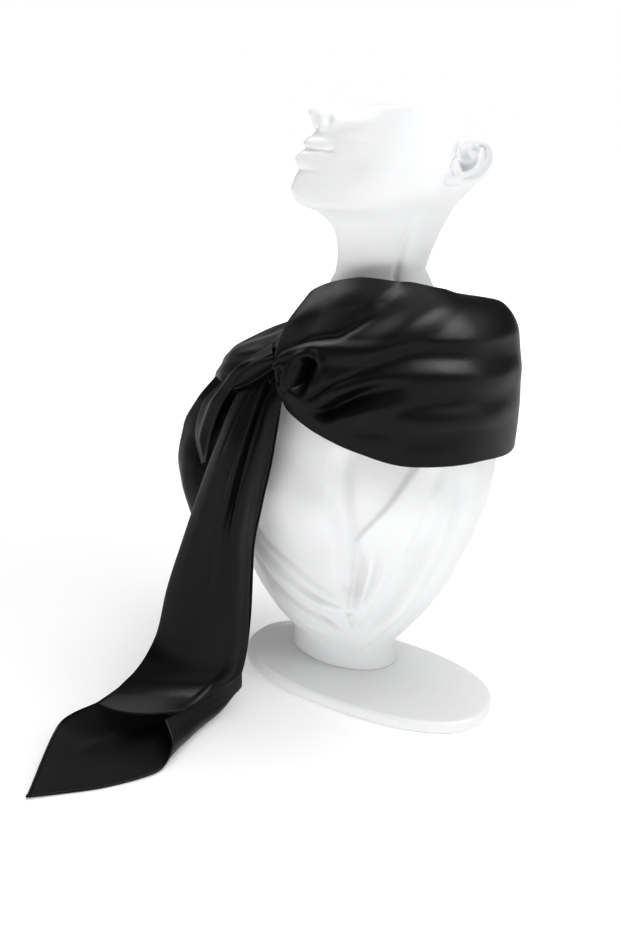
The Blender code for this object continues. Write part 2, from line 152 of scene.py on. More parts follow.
# %% Values that add and multiply
class Value:
    """The result of a shader node, which can be added and multiplied like a number."""

    def __init__(self, recipe, socket):
        self.recipe = recipe
        self.socket = socket

    def maths(self, operation, first, second):
        return self.recipe.node("ShaderNodeMath", {"operation": operation}, {0: first, 1: second})

    def __add__(self, other):
        return self.maths("ADD", self, other)

    def __radd__(self, other):
        return self.maths("ADD", other, self)

    def __sub__(self, other):
        return self.maths("SUBTRACT", self, other)

    def __rsub__(self, other):
        return self.maths("SUBTRACT", other, self)

    def __mul__(self, other):
        return self.maths("MULTIPLY", self, other)

    def __rmul__(self, other):
        return self.maths("MULTIPLY", other, self)

    def __pow__(self, other):
        return self.maths("POWER", self, other)


# %% One material, node by node
class Recipe:
    """One material: a Principled shader with constants, and nodes for what varies."""

    def __init__(self, name, colour, **constants):
        self.look = bpy.data.materials.new(name)
        self.look.use_nodes = True
        self.tree = self.look.node_tree
        self.shader = self.tree.nodes["Principled BSDF"]
        self.shader.inputs["Base Color"].default_value = (*colour, 1)
        self.look.diffuse_color = (*colour, 1)
        for socket, value in constants.items():
            self.shader.inputs[socket.replace("_", " ")].default_value = value

    def node(self, kind, settings=None, inputs=None, output=0):
        made = self.tree.nodes.new(kind)
        for key, value in (settings or {}).items():
            if key == "stops":
                made.color_ramp.elements[0].position = value[0][0]
                made.color_ramp.elements[0].color = (*value[0][1], 1)
                made.color_ramp.elements[1].position = value[1][0]
                made.color_ramp.elements[1].color = (*value[1][1], 1)
            else:
                setattr(made, key, value)
        for key, value in (inputs or {}).items():
            if isinstance(value, Value):
                self.tree.links.new(value.socket, made.inputs[key])
            else:
                made.inputs[key].default_value = value
        return Value(self, made.outputs[output])

    def feed(self, socket, value):
        self.tree.links.new(value.socket, self.shader.inputs[socket])

    def noise(self, where, scale, detail=2.0, roughness=0.5):
        return self.node(
            "ShaderNodeTexNoise", {},
            {"Vector": where, "Scale": scale, "Detail": detail, "Roughness": roughness},
        )

    def stretched(self, where, scale):
        settings = {"operation": "MULTIPLY"}
        return self.node("ShaderNodeVectorMath", settings, {0: where, 1: scale})

    def blend(self, factor, first, second):
        inputs = {"Factor": factor, "A": (*first, 1), "B": (*second, 1)}
        return self.node("ShaderNodeMix", {"data_type": "RGBA"}, inputs, output=2)

    def bump(self, height, distance, strength=1.0, under=None):
        inputs = {"Height": height, "Distance": distance, "Strength": strength}
        if under:
            inputs["Normal"] = under
        return self.node("ShaderNodeBump", {}, inputs)


# %% [markdown]
# ## The finishes
# Black satin has long floats of thread on its face, so it is smooth and glossy along them and
# shows faint slubs; its reverse is a dull, flatter weave. The pattern lies in each sheet's own
# flat measure in metres (its UV map), as it was woven before it was hung. The thread is finer
# than a pixel, so it works through roughness and a very low bump.

# %% Satin face and dull reverse
def satin(name, colour, warm, roughness, gloss, weave_depth):
    recipe = Recipe(name, colour, IOR=gloss)
    cloth = recipe.node("ShaderNodeUVMap", {"uv_map": "Cloth"})
    slub = recipe.noise(recipe.stretched(cloth, (90, 1500, 1)), 1.0, 3.0)
    cloud = recipe.noise(recipe.stretched(cloth, (22, 22, 22)), 1.0, 2.0)
    recipe.feed("Base Color", recipe.blend(cloud, colour, warm))
    recipe.feed("Roughness", roughness + (slub - 0.5) * 0.24 + (cloud - 0.5) * 0.10)
    weft = recipe.noise(recipe.stretched(cloth, (700, 2600, 1)), 1.0, 1.0)
    crease = recipe.noise(recipe.stretched(cloth, (60, 60, 60)), 1.0, 3.0, 0.55)
    soft = recipe.bump(crease, 0.0006, 0.5)
    recipe.feed("Normal", recipe.bump(weft + slub * 0.6, weave_depth, 0.6, under=soft))
    return recipe.look


SATIN = satin(
    "black_satin", (0.0012, 0.0012, 0.0016), (0.0022, 0.0018, 0.0015),
    roughness=0.43, gloss=1.24, weave_depth=0.00012,
)
REVERSE = satin(
    "satin_reverse", (0.0052, 0.0052, 0.0054), (0.0070, 0.0067, 0.0064),
    roughness=0.70, gloss=1.18, weave_depth=0.00014,
)
THREAD = satin(
    "silk_thread", (0.0040, 0.0040, 0.0045), (0.0060, 0.0056, 0.0050),
    roughness=0.42, gloss=1.30, weave_depth=0.00005,
)
print("cloth finishes:", SATIN.name, REVERSE.name, THREAD.name)

# %% [markdown]
# The bust is cast and painted: matt white with a faint tooth from the roller, tiny pits, and a
# trace of grey where hands and dust have been. It reads Object coordinates, so the pattern
# stays put on a piece that never moves against its own mesh.

# %% White paint
def paint(name, colour, dust, roughness, tooth):
    recipe = Recipe(name, colour, Specular_IOR_Level=0.4)
    spot = recipe.node("ShaderNodeTexCoord", output=3)
    cloud = recipe.noise(spot, 14.0, 4.0, 0.6)
    grain = recipe.noise(spot, 900.0, 2.0, 0.6)
    pits = recipe.noise(spot, 210.0, 3.0, 0.7)
    wave = recipe.noise(spot, 34.0, 2.0, 0.5)
    recipe.feed("Base Color", recipe.blend(cloud**2.2, colour, dust))
    recipe.feed("Roughness", roughness + (cloud - 0.5) * 0.16 + (grain - 0.5) * 0.08)
    broad = recipe.bump(wave, 0.0009, 0.35)
    recipe.feed("Normal", recipe.bump(grain + pits * 0.7, tooth, 0.5, under=broad))
    return recipe.look


WHITE = paint("white_bust_paint", (0.80, 0.805, 0.815), (0.75, 0.75, 0.75), 0.48, 0.00012)
BASE_WHITE = paint("white_base_paint", (0.85, 0.855, 0.86), (0.80, 0.80, 0.79), 0.42, 0.00016)
print("paints:", WHITE.name, BASE_WHITE.name)

# %% [markdown]
# The floor is a sheet of white paper. In a studio it runs up behind the object and loses itself
# in the white backdrop. A flat sheet does the same when it glows a little more the farther away
# it is, and this needs no curved backdrop that the cloth would mirror.

# %% Floor paper
floor_paint = Recipe("floor_paper", (0.92, 0.92, 0.92), Roughness=0.9, Specular_IOR_Level=0.1,
                     Emission_Strength=1.0)
spot = floor_paint.node("ShaderNodeTexCoord", output=3)
away = floor_paint.node("ShaderNodeVectorMath", {"operation": "LENGTH"}, {0: spot}, output=1)
glow = floor_paint.node(
    "ShaderNodeMapRange", {"interpolation_type": "SMOOTHSTEP"},
    {"Value": away, "From Min": 0.35, "From Max": 1.8, "To Min": 0.20, "To Max": 0.97},
)
floor_paint.feed("Emission Color", glow)
studio_floor.data.materials.append(floor_paint.look)
print("materials:", [m.name for m in bpy.data.materials])

# %% [markdown]
# ## Curves through tables
# A garment's form is easiest to keep in short tables: a few stations, a few named columns, with
# lengths in millimetres and turns in degrees. A monotone curve through each column never swings
# past its rows, so cloth doesn't buckle between two stations.

# %% A smooth curve through values
MM = 0.001                  # a millimetre in metres


def through(knots, values, where):
    """Smooth curve through table values; a 2-D table has one column of values per point."""
    knots = np.asarray(knots, float)
    where = np.clip(np.asarray(where, float), knots[0], knots[-1])
    values = np.asarray(values, float)
    if values.ndim == 1:
        values = np.repeat(values[:, None], where.size, axis=1)
    step = np.diff(knots)[:, None]
    slope = np.diff(values, axis=0) / step
    tangent = np.zeros_like(values)
    tangent[0] = slope[0]
    tangent[-1] = slope[-1]
    before = 2 * step[1:] + step[:-1]
    after = step[1:] + 2 * step[:-1]
    same = slope[:-1] * slope[1:] > 0
    lower = np.where(same, slope[:-1], 1.0)
    upper = np.where(same, slope[1:], 1.0)
    tangent[1:-1] = np.where(same, (before + after) / (before / lower + after / upper), 0.0)
    i = np.clip(np.searchsorted(knots, where, side="right") - 1, 0, len(step) - 1)
    k = np.arange(where.size)
    h = step[i, 0]
    t = (where - knots[i]) / h
    return (
        (1 + 2 * t) * (1 - t) ** 2 * values[i, k]
        + t * (1 - t) ** 2 * h * tangent[i, k]
        + t * t * (3 - 2 * t) * values[i + 1, k]
        + t * t * (t - 1) * h * tangent[i + 1, k]
    )


# %% Tables with named columns
class Table:
    """Rows of named columns; the first column says where along the piece a row lies."""

    def __init__(self, names, *rows):
        self.columns = dict(zip(names.split(), np.array(rows, float).T))
        self.along = next(iter(self.columns.values()))

    def __call__(self, name, where):
        return through(self.along, self.columns[name], np.atleast_1d(where))

    def metres(self, name, where):
        return self(name, where) * MM


# %% [markdown]
# ## Folds
# Cloth that hangs from a few points makes long, soft folds with curved spines, steeper on one
# side than on the other. Each fold is a row: the points of its spine on the sheet's own square,
# its half width on either side and its height in millimetres (a trough is negative), and how
# much of its length fades in and out. Written this way a fold is one line to change, where a
# cloth simulation would put it somewhere else each time.

# %% Folds with curved spines
def spine(points, count=26):
    """Evenly spaced points on a smooth line through the few given points."""
    points = np.array(points, float)
    run = np.concatenate([[0], np.cumsum(np.linalg.norm(np.diff(points, axis=0), axis=1))])
    s = np.linspace(0, run[-1], count)
    return np.stack([through(run, points[:, i], s) for i in (0, 1)], axis=1)


def fade(share):
    share = np.clip(share, 0, 1)
    return share * share * (3 - 2 * share)


def relief(folds, along, across, size):
    """Height of all the folds in metres; size is the sheet's length and width."""
    here = np.stack([along * size[0], across * size[1]], axis=1)
    total = np.zeros(len(here))
    for points, half_above, half_below, height, fade_in, fade_out in folds:
        line = spine(points) * np.array(size)
        reach = max(half_above, half_below) * MM
        low = line.min(axis=0) - reach
        high = line.max(axis=0) + reach
        near = np.where(np.all((here > low) & (here < high), axis=1))[0]
        if not len(near):
            continue
        a = line[:-1]
        ab = line[1:] - a
        rel = here[near][:, None, :] - a[None]
        t = np.clip((rel * ab).sum(-1) / (ab * ab).sum(-1), 0, 1)
        off = rel - t[..., None] * ab
        distance = (off**2).sum(-1)
        k = distance.argmin(axis=1)
        pick = np.arange(len(near))
        turn = ab[k, 0] * off[pick, k, 1] - ab[k, 1] * off[pick, k, 0]
        half = np.where(turn > 0, half_below, half_above) * MM
        s = (k + t[pick, k]) / len(ab)
        share = np.clip(1 - distance[pick, k] / half**2, 0, 1) ** 2
        if fade_in:
            share = share * fade(s / fade_in)
        if fade_out:
            share = share * fade((1 - s) / fade_out)
        total[near] += height * MM * share
    return total


def carved(folds, across, up):
    """The same for forms whose spines are written in millimetres."""
    return relief(folds, across / MM, up / MM, (MM, MM))


# %% [markdown]
# ## A sheet with real edges
# Cloth looks like card when its edge is cut square. A real edge is either a fold, where the
# cloth turns round and goes back underneath, or a rolled hem, where the last centimetre is
# rolled into a cord two millimetres thick and stitched down. Both are a matter of where the
# last rows of one grid go: past the edge, round, and back. Where one sheet goes on as the next,
# the one ends in a seam, with a last row so close that its rim doesn't shade the cloth, and the
# other is tucked a few millimetres under it, so no light comes through.

# %% Stations across a sheet, with turned and rolled edges
HEM_ROLL = 0.0011           # radius of the rolled hem
HEM_TURN = 500              # degrees that it is rolled
LAYER_GAP = 0.0006          # half the distance between two layers at a fold
FOLD_NOSE = 1.7             # how far a fold reaches out, in layer gaps
SEAM_ROW = 0.0001           # last row before a seam
TUCK = ((0.0004, 0.0), (0.0016, 0.0008))    # first rows of a tuck: past the edge, and down
TUCK_DROP = 0.0011          # how deep a tucked edge lies


def stations(length, cells, start="", end="", back=0.014, roll=HEM_ROLL, up=-1):
    """Rows of share of the way, distance past the edge, distance out, and flat measure."""
    gap = LAYER_GAP if {"fold", "tuck"} & {start, end} else 0.0
    shares = list(np.linspace(0, 1, cells + 1))
    near = SEAM_ROW / length
    shares += [near] * (start == "seam") + [1 - near] * (end == "seam")
    rows = [(s, 0.0, gap, s * length) for s in sorted(shares)]

    def edge(kind, at, sign, flat):
        out = []
        if kind == "tuck":
            for d, low in (*TUCK, (back, TUCK_DROP)):
                out.append((at, sign * d, gap - low, flat + sign * d))
        if kind == "fold":
            for a in np.linspace(90, -90, 8)[1:]:
                c = math.cos(math.radians(a))
                s = math.sin(math.radians(a))
                out.append((at, sign * gap * FOLD_NOSE * c, gap * s, flat + sign * gap / 2))
            for d in np.linspace(0, back, 7)[1:]:
                out.append((at - sign * d / length, 0.0, -gap, flat + sign * d))
        if kind == "hem":
            for a in np.linspace(0, HEM_TURN, 17)[1:]:
                r = roll * (1 - 0.4 * a / HEM_TURN)
                c = math.cos(math.radians(a))
                s = math.sin(math.radians(a))
                turned = roll * math.radians(a)
                out.append((at, sign * r * s, gap + up * (roll - r * c), flat + sign * turned))
        return out

    rows = list(reversed(edge(start, 0.0, -1, 0.0))) + rows + edge(end, 1.0, 1, length)
    return np.array(rows)


print("rows of a hemmed centimetre:", len(stations(0.01, 4, end="hem")))

# %% [markdown]
# The rows and columns say how far past the edge and how far out each point lies. To place it,
# the sheet's own directions are needed at every point: ahead, aside and out of the cloth. They
# are measured once on a coarse grid, which keeps a turned edge smooth over sharp folds.

# %% Directions on a laid sheet
def unit(vectors):
    length = np.linalg.norm(vectors, axis=-1, keepdims=True)
    return vectors / np.maximum(length, 1e-12)


def between(grid, a, c):
    """Values of a regular grid of vectors at shares a and c of its two sides."""
    na, nc = grid.shape[:2]
    x = np.clip(a, 0, 1) * (na - 1)
    y = np.clip(c, 0, 1) * (nc - 1)
    i = np.minimum(x.astype(int), na - 2)
    j = np.minimum(y.astype(int), nc - 2)
    u = (x - i)[:, None]
    v = (y - j)[:, None]
    return (
        grid[i, j] * (1 - u) * (1 - v) + grid[i + 1, j] * u * (1 - v)
        + grid[i, j + 1] * (1 - u) * v + grid[i + 1, j + 1] * u * v
    )


class Laid:
    """A laying rule with its directions ahead, aside and out at every point."""

    def __init__(self, rule, flip=False, fineness=(150, 90)):
        self.rule = rule
        a, c = np.meshgrid(*[np.linspace(0, 1, n) for n in fineness], indexing="ij")
        grid = rule(a.ravel(), c.ravel()).reshape(*fineness, 3)
        self.ahead = unit(np.gradient(grid, axis=0))
        self.aside = unit(np.gradient(grid, axis=1))
        self.out = unit(np.cross(self.ahead, self.aside)) * (-1 if flip else 1)
        self.flip = flip

    def at(self, a, c, past_a=0.0, past_c=0.0, out=0.0):
        a = np.atleast_1d(np.asarray(a, float))
        c = np.atleast_1d(np.asarray(c, float))
        n = len(a)
        past_a, past_c, out = (np.broadcast_to(x, n)[:, None] for x in (past_a, past_c, out))
        return (
            self.rule(a, c)
            + between(self.ahead, a, c) * past_a
            + between(self.aside, a, c) * past_c
            + unit(between(self.out, a, c)) * out
        )


# %% From a grid to a piece of cloth
def add_piece(name, bm, looks):
    mesh = bpy.data.meshes.new(name)
    bm.to_mesh(mesh)
    bm.free()
    for look in looks:
        mesh.materials.append(look)
    mesh.shade_smooth()
    thing = bpy.data.objects.new(name, mesh)
    bpy.context.scene.collection.objects.link(thing)
    return thing


def lay_sheet(name, laid, rows, columns, looks=(SATIN, REVERSE), wall=0.0006):
    """A grid laid by its rule, with its wall from Solidify and its flat measure as UV map."""
    bm = bmesh.new()
    flat = bm.loops.layers.uv.new("Cloth")
    bmesh.ops.create_grid(bm, x_segments=len(rows) - 1, y_segments=len(columns) - 1, size=0.5)
    i = np.rint(np.array([v.co.x + 0.5 for v in bm.verts]) * (len(rows) - 1)).astype(int)
    j = np.rint(np.array([v.co.y + 0.5 for v in bm.verts]) * (len(columns) - 1)).astype(int)
    along = rows[i]
    across = columns[j]
    out = along[:, 2] + across[:, 2]
    spots = laid.at(along[:, 0], across[:, 0], along[:, 1], across[:, 1], out)
    for v, p in zip(bm.verts, spots):
        v.co = Vector(p)
    bm.verts.index_update()
    for face in bm.faces:
        for loop in face.loops:
            k = loop.vert.index
            loop[flat].uv = (along[k, 3], across[k, 3])
    if laid.flip:
        bmesh.ops.reverse_faces(bm, faces=bm.faces)
    thing = add_piece(name, bm, looks)
    shell = thing.modifiers.new("Wall", "SOLIDIFY")
    shell.thickness = wall
    shell.offset = 0
    shell.material_offset = 1
    area = sum(p.area for p in thing.data.polygons)
    print(f"{name}: {len(rows)} x {len(columns)} points, {area * 1e4:.0f} cm2")
    return thing


# %% [markdown]
# ## The band
# The band is the scarf folded to about 15 cm and wound round the shoulders. Its form is a set of
# upright sections round one axis, each with five points from the top edge down. The same table
# built the solids, so the cloth lies where they are.

# %% Sections of the band
BAND_WALL = 0.0007
WRAP_AXIS = (0.0, 0.010)
BAND = Table(
    "azimuth top_turn low_turn r0 z0 r1 z1 r2 z2 r3 z3 r4 z4",
    (-121, 0, 12, 78, 368, 94, 356, 106, 338, 109, 320, 104, 303),
    (-109, -5, 6, 67, 386, 88, 367, 104, 340, 108, 316, 104, 296),
    (-95, -3, 4, 61, 394, 83, 372, 100, 342, 106, 312, 103, 286),
    (-74, 0, 2, 62, 399, 85, 377, 104, 346, 111, 308, 109, 277),
    (-50, 0, 0, 70, 397, 94, 381, 113, 352, 120, 308, 119, 269),
    (-26, 0, 0, 72, 391, 102, 381, 123, 356, 128, 310, 126, 268),
    (-4, 0, 0, 68, 383, 103, 380, 122, 360, 127, 314, 125, 263),
    (22, 0, 0, 66, 376, 92, 371, 108, 350, 113, 308, 111, 264),
    (50, 0, 0, 64, 370, 84, 364, 97, 345, 101, 306, 98, 265),
    (90, 0, 0, 66, 362, 76, 354, 84, 338, 88, 304, 86, 264),
    (130, 0, 0, 70, 358, 88, 350, 104, 330, 110, 294, 107, 256),
    (160, 0, 0, 73, 348, 102, 338, 128, 320, 138, 288, 134, 250),
    (185, 0, 0, 74, 342, 108, 328, 138, 312, 152, 285, 148, 252),
    (205, 0, 0, 72, 346, 102, 333, 124, 320, 136, 299, 135, 272),
    (222, 0, 0, 74, 352, 86, 342, 96, 329, 100, 310, 98, 293),
    (234, 0, 0, 78, 357, 85, 346, 90, 333, 92, 318, 91, 305),
    (240, 0, 0, 66, 356, 77, 345, 85, 333, 88, 319, 88, 306),
)


def band_rule(start, end, folds, size):
    """Laying rule for the stretch of band between two compass angles."""

    def rule(along, across):
        azimuth = start + (end - start) * along
        five = np.linspace(0, 1, 5)
        radius = through(five, [BAND.metres(f"r{i}", azimuth) for i in range(5)], across)
        height = through(five, [BAND.metres(f"z{i}", azimuth) for i in range(5)], across)
        turn = BAND("top_turn", azimuth) * (1 - across) + BAND("low_turn", azimuth) * across
        radius = radius + relief(folds, along, across, size)
        angle = np.radians(azimuth + turn)
        x = WRAP_AXIS[0] + radius * np.cos(angle)
        y = WRAP_AXIS[1] + radius * np.sin(angle)
        return np.stack([x, y, height], axis=-1)

    return rule


# %% [markdown]
# The front stretch is the best seen. Its folds fan out from the catch: a deep pocket with a thin
# rolled lip beside it, a bright crease that leaves the pocket and climbs to the top edge, and
# broad troughs that sweep down and along. They fade before the left shoulder.

# %% Front stretch of the band
FRONT_SIZE = (0.24, 0.15)    # metres along and across
FRONT_FOLDS = (
    # the edge at the catch turns in over the long end
    (((0, -0.3), (0, 1.3)), 12, 12, -7, 0, 0),
    # crease that climbs from the catch to the top edge, narrow first and then broad
    (((0.12, 0.46), (0.19, 0.4), (0.265, 0.379), (0.3, 0.347), (0.356, 0.301), (0.402, 0.279)),
     5, 4.5, -2.8, 0.3, 0.35),
    (((0.28, 0.37), (0.356, 0.301), (0.402, 0.262), (0.44, 0.2), (0.5, 0.1), (0.55, -0.02),
      (0.6, -0.15)), 18, 20, -5, 0.35, 0.2),
    # bright ridge under it
    (((0.02, 0.62), (0.1, 0.493), (0.142, 0.452), (0.187, 0.42), (0.251, 0.411), (0.338, 0.416)),
     4.5, 6, 2.6, 0.15, 0.4),
    (((0.2, 0.43), (0.338, 0.42), (0.411, 0.39), (0.479, 0.335), (0.56, 0.22), (0.64, 0.08),
      (0.7, -0.1)), 13, 18, 4.2, 0.4, 0.3),
    # dark line between the two near the catch
    (((0.032, 0.566), (0.1, 0.516), (0.128, 0.461), (0.16, 0.434)), 3.5, 3.5, -1.8, 0.2, 0.4),
    # ridge from the top of the pocket
    (((0.19, 0.46), (0.228, 0.447), (0.297, 0.437), (0.388, 0.44), (0.52, 0.43)),
     7, 14, 2.6, 0.1, 0.6),
    # rolled lip, pocket and the pocket's right rim
    (((0.195, 0.452), (0.155, 0.474), (0.133, 0.515), (0.117, 0.595), (0.104, 0.68), (0.085, 0.8)),
     3.4, 3.4, 3.4, 0.1, 0.15),
    (((0.185, 0.478), (0.17, 0.53), (0.158, 0.6), (0.14, 0.68), (0.118, 0.76)),
     11, 5, -16, 0.1, 0.35),
    (((0.196, 0.47), (0.224, 0.505), (0.228, 0.56), (0.212, 0.63), (0.175, 0.71)),
     6, 5, 1.6, 0.2, 0.3),
    # hollow to the left of the lip
    (((0.08, 0.56), (0.066, 0.66), (0.058, 0.78)), 6.5, 6.5, -2.4, 0.2, 0.3),
    # long trough that leaves the pocket and runs along the band, thin and then broad
    (((0.15, 0.8), (0.196, 0.717), (0.233, 0.653), (0.288, 0.594), (0.342, 0.553), (0.4, 0.53)),
     3.4, 5.2, -2.4, 0.3, 0.5),
    (((0.26, 0.61), (0.342, 0.553), (0.434, 0.511), (0.498, 0.5), (0.6, 0.52), (0.74, 0.57),
      (0.9, 0.6)), 13, 13, -4.6, 0.45, 0.55),
    # ridge between it and the dark hollow below
    (((0.22, 0.74), (0.274, 0.64), (0.342, 0.598), (0.411, 0.575), (0.5, 0.57)), 5, 6, 2.2, 0.3, 0.5),
    (((0.36, 0.62), (0.479, 0.59), (0.58, 0.605), (0.7, 0.65), (0.9, 0.68)), 10, 11, 2.6, 0.4, 0.5),
    (((0.18, 0.89), (0.237, 0.8), (0.274, 0.74), (0.306, 0.7), (0.342, 0.668), (0.42, 0.635),
      (0.5, 0.62)), 9.2, 10.5, -11, 0.3, 0.6),
    # ridge, streak and ridge towards the lower edge
    (((0.25, 0.86), (0.31, 0.775), (0.37, 0.72), (0.466, 0.665), (0.55, 0.65)),
     8, 10, 2.6, 0.35, 0.5),
    (((0.38, 0.74), (0.47, 0.7), (0.575, 0.695), (0.69, 0.73), (0.84, 0.75)),
     13, 13, -2.6, 0.45, 0.5),
    (((0.34, 0.83), (0.45, 0.768), (0.575, 0.762), (0.7, 0.8), (0.88, 0.82)), 10, 11, 2.2, 0.4, 0.5),
    (((0.27, 0.92), (0.345, 0.855), (0.4, 0.828), (0.5, 0.82)), 9, 10, -1.6, 0.4, 0.5),
    (((0.4, 0.91), (0.48, 0.875), (0.56, 0.865), (0.66, 0.88)), 11, 12, -1.6, 0.45, 0.5),
    # dimple and hump near the top edge, and soft vertical swell before the shoulder
    (((0.06, 0.42), (0.12, 0.335), (0.19, 0.265), (0.27, 0.22)), 15, 15, -1.4, 0.4, 0.5),
    (((0.16, 0.16), (0.26, 0.1), (0.36, 0.08), (0.46, 0.1)), 18, 18, 2, 0.4, 0.5),
    (((0.86, 0.1), (0.84, 0.4), (0.85, 0.95)), 20, 18, -2, 0.3, 0.3),
)
front_laid = Laid(band_rule(-123.5, 28, FRONT_FOLDS, FRONT_SIZE), flip=True)
front = lay_sheet(
    "front_band_satin", front_laid,
    stations(FRONT_SIZE[0], 210, start="fold", end="seam", back=0.008),
    stations(FRONT_SIZE[1], 118, start="fold", end="fold"), wall=BAND_WALL,
)

# %% [markdown]
# The back stretch isn't in the photograph. It is held between the two shoulders, so it gets the
# slack, nearly level folds that a shawl shows there: long shallow hammocks, uneven, with short
# ones that start at a shoulder and die out. Both its ends are tucked under the neighbours.

# %% Back stretch
BACK_SIZE = (0.20, 0.13)
BACK_FOLDS = (
    (((-0.05, 0.17), (0.15, 0.22), (0.45, 0.33), (0.75, 0.27), (1, 0.2)), 8, 12, -4, 0.3, 0.2),
    (((-0.02, 0.34), (0.2, 0.42), (0.5, 0.52), (0.78, 0.46), (1.02, 0.35)), 7, 12, 4, 0.3, 0.2),
    (((0.02, 0.5), (0.22, 0.6), (0.48, 0.7), (0.74, 0.64), (0.98, 0.52)), 9, 11, -4.8, 0.3, 0.3),
    (((0.1, 0.74), (0.34, 0.84), (0.58, 0.88), (0.84, 0.78)), 7, 9, 3, 0.35, 0.3),
    (((-0.02, 0.64), (0.12, 0.72), (0.3, 0.78)), 6, 7, -2.8, 0.3, 0.5),
    (((0.7, 0.76), (0.86, 0.66), (1.02, 0.6)), 6, 7, -2.8, 0.5, 0.2),
    (((0.28, 0.14), (0.48, 0.19), (0.66, 0.16)), 6, 8, 2, 0.4, 0.4),
    (((0.4, 0.42), (0.6, 0.43), (0.74, 0.38)), 3.5, 5, -1.8, 0.4, 0.5),
)
back_laid = Laid(band_rule(28, 150, BACK_FOLDS, BACK_SIZE), flip=True)
back = lay_sheet(
    "back_band_satin", back_laid,
    stations(BACK_SIZE[0], 150, start="tuck", end="tuck", back=0.006),
    stations(BACK_SIZE[1], 96, start="fold", end="fold"), wall=BAND_WALL,
)

# %% [markdown]
# The far stretch goes over the other shoulder and is gathered towards the catch, so its folds
# draw together at that end, and the cloth swells into one rounded roll just before it.

# %% Far stretch
FAR_SIZE = (0.17, 0.12)
FAR_FOLDS = (
    (((0, 0.2), (0.25, 0.24), (0.5, 0.22), (0.68, 0.2)), 8, 10, -4, 0.1, 0.6),
    (((0.05, 0.4), (0.3, 0.42), (0.52, 0.4), (0.7, 0.38)), 8, 10, 4, 0.2, 0.6),
    (((0, 0.58), (0.25, 0.62), (0.48, 0.62), (0.68, 0.62)), 9, 9, -4.5, 0.2, 0.6),
    (((0.12, 0.8), (0.34, 0.82), (0.6, 0.84)), 7, 9, 3.4, 0.3, 0.6),
    # the rounded roll before the catch, the hollow under it and two short tucks
    (((0.44, 0.5), (0.66, 0.46), (0.88, 0.44), (1.04, 0.46)), 26, 18, 4.4, 0.5, 0.05),
    (((0.16, 0.06), (0.36, 0.12), (0.56, 0.17), (0.8, 0.2)), 16, 15, -2, 0.3, 0.3),
    (((0.62, 0.78), (0.8, 0.74), (0.94, 0.66), (1.05, 0.6)), 12, 18, -10, 0.4, 0.05),
    (((0.8, 0.5), (0.92, 0.5), (1.04, 0.51)), 3, 3.5, -2.2, 0.4, 0.05),
)
far_laid = Laid(band_rule(150, 239.5, FAR_FOLDS, FAR_SIZE), flip=True)
far = lay_sheet(
    "far_band_satin", far_laid,
    stations(FAR_SIZE[0], 140, start="seam", end="fold", back=0.008),
    stations(FAR_SIZE[1], 96, start="fold", end="fold"), wall=BAND_WALL,
)

# %% [markdown]
# ## The hanging ends
# An end hangs between two edges, so its table has a left and a right edge line and how far the
# cloth bulges between them. The long end's pleats start in the catch: a sharp ridge with a dark
# valley beside it and a fat roll along the right edge, which opens out where the cloth turns
# onto the floor.

# %% Strips between two edges
EDGE_COLUMNS = "station lx ly lz rx ry rz bulge"
LEFT_EDGE = ("lx", "ly", "lz")
RIGHT_EDGE = ("rx", "ry", "rz")


def strip_rule(table, folds, size, cut=(0, 0)):
    """Laying rule for a strip between its two edges; cut rounds off its last two corners."""

    def rule(along, across):
        along = along * (1 - cut[0] * (1 - across) ** 3 - cut[1] * across**5)
        left = np.stack([table.metres(k, along) for k in LEFT_EDGE], axis=-1)
        right = np.stack([table.metres(k, along) for k in RIGHT_EDGE], axis=-1)
        run = 0
        for names in (LEFT_EDGE, RIGHT_EDGE):
            ahead = [table(k, along + 0.01) - table(k, along - 0.01) for k in names]
            run = run + np.stack(ahead, axis=-1)
        out = unit(np.cross(run, right - left))
        rise = table.metres("bulge", along) * np.sin(np.pi * np.clip(across, 0, 1)) ** 0.8
        rise = rise + relief(folds, along, across, size)
        return left + (right - left) * across[:, None] + out * rise[:, None]

    return rule


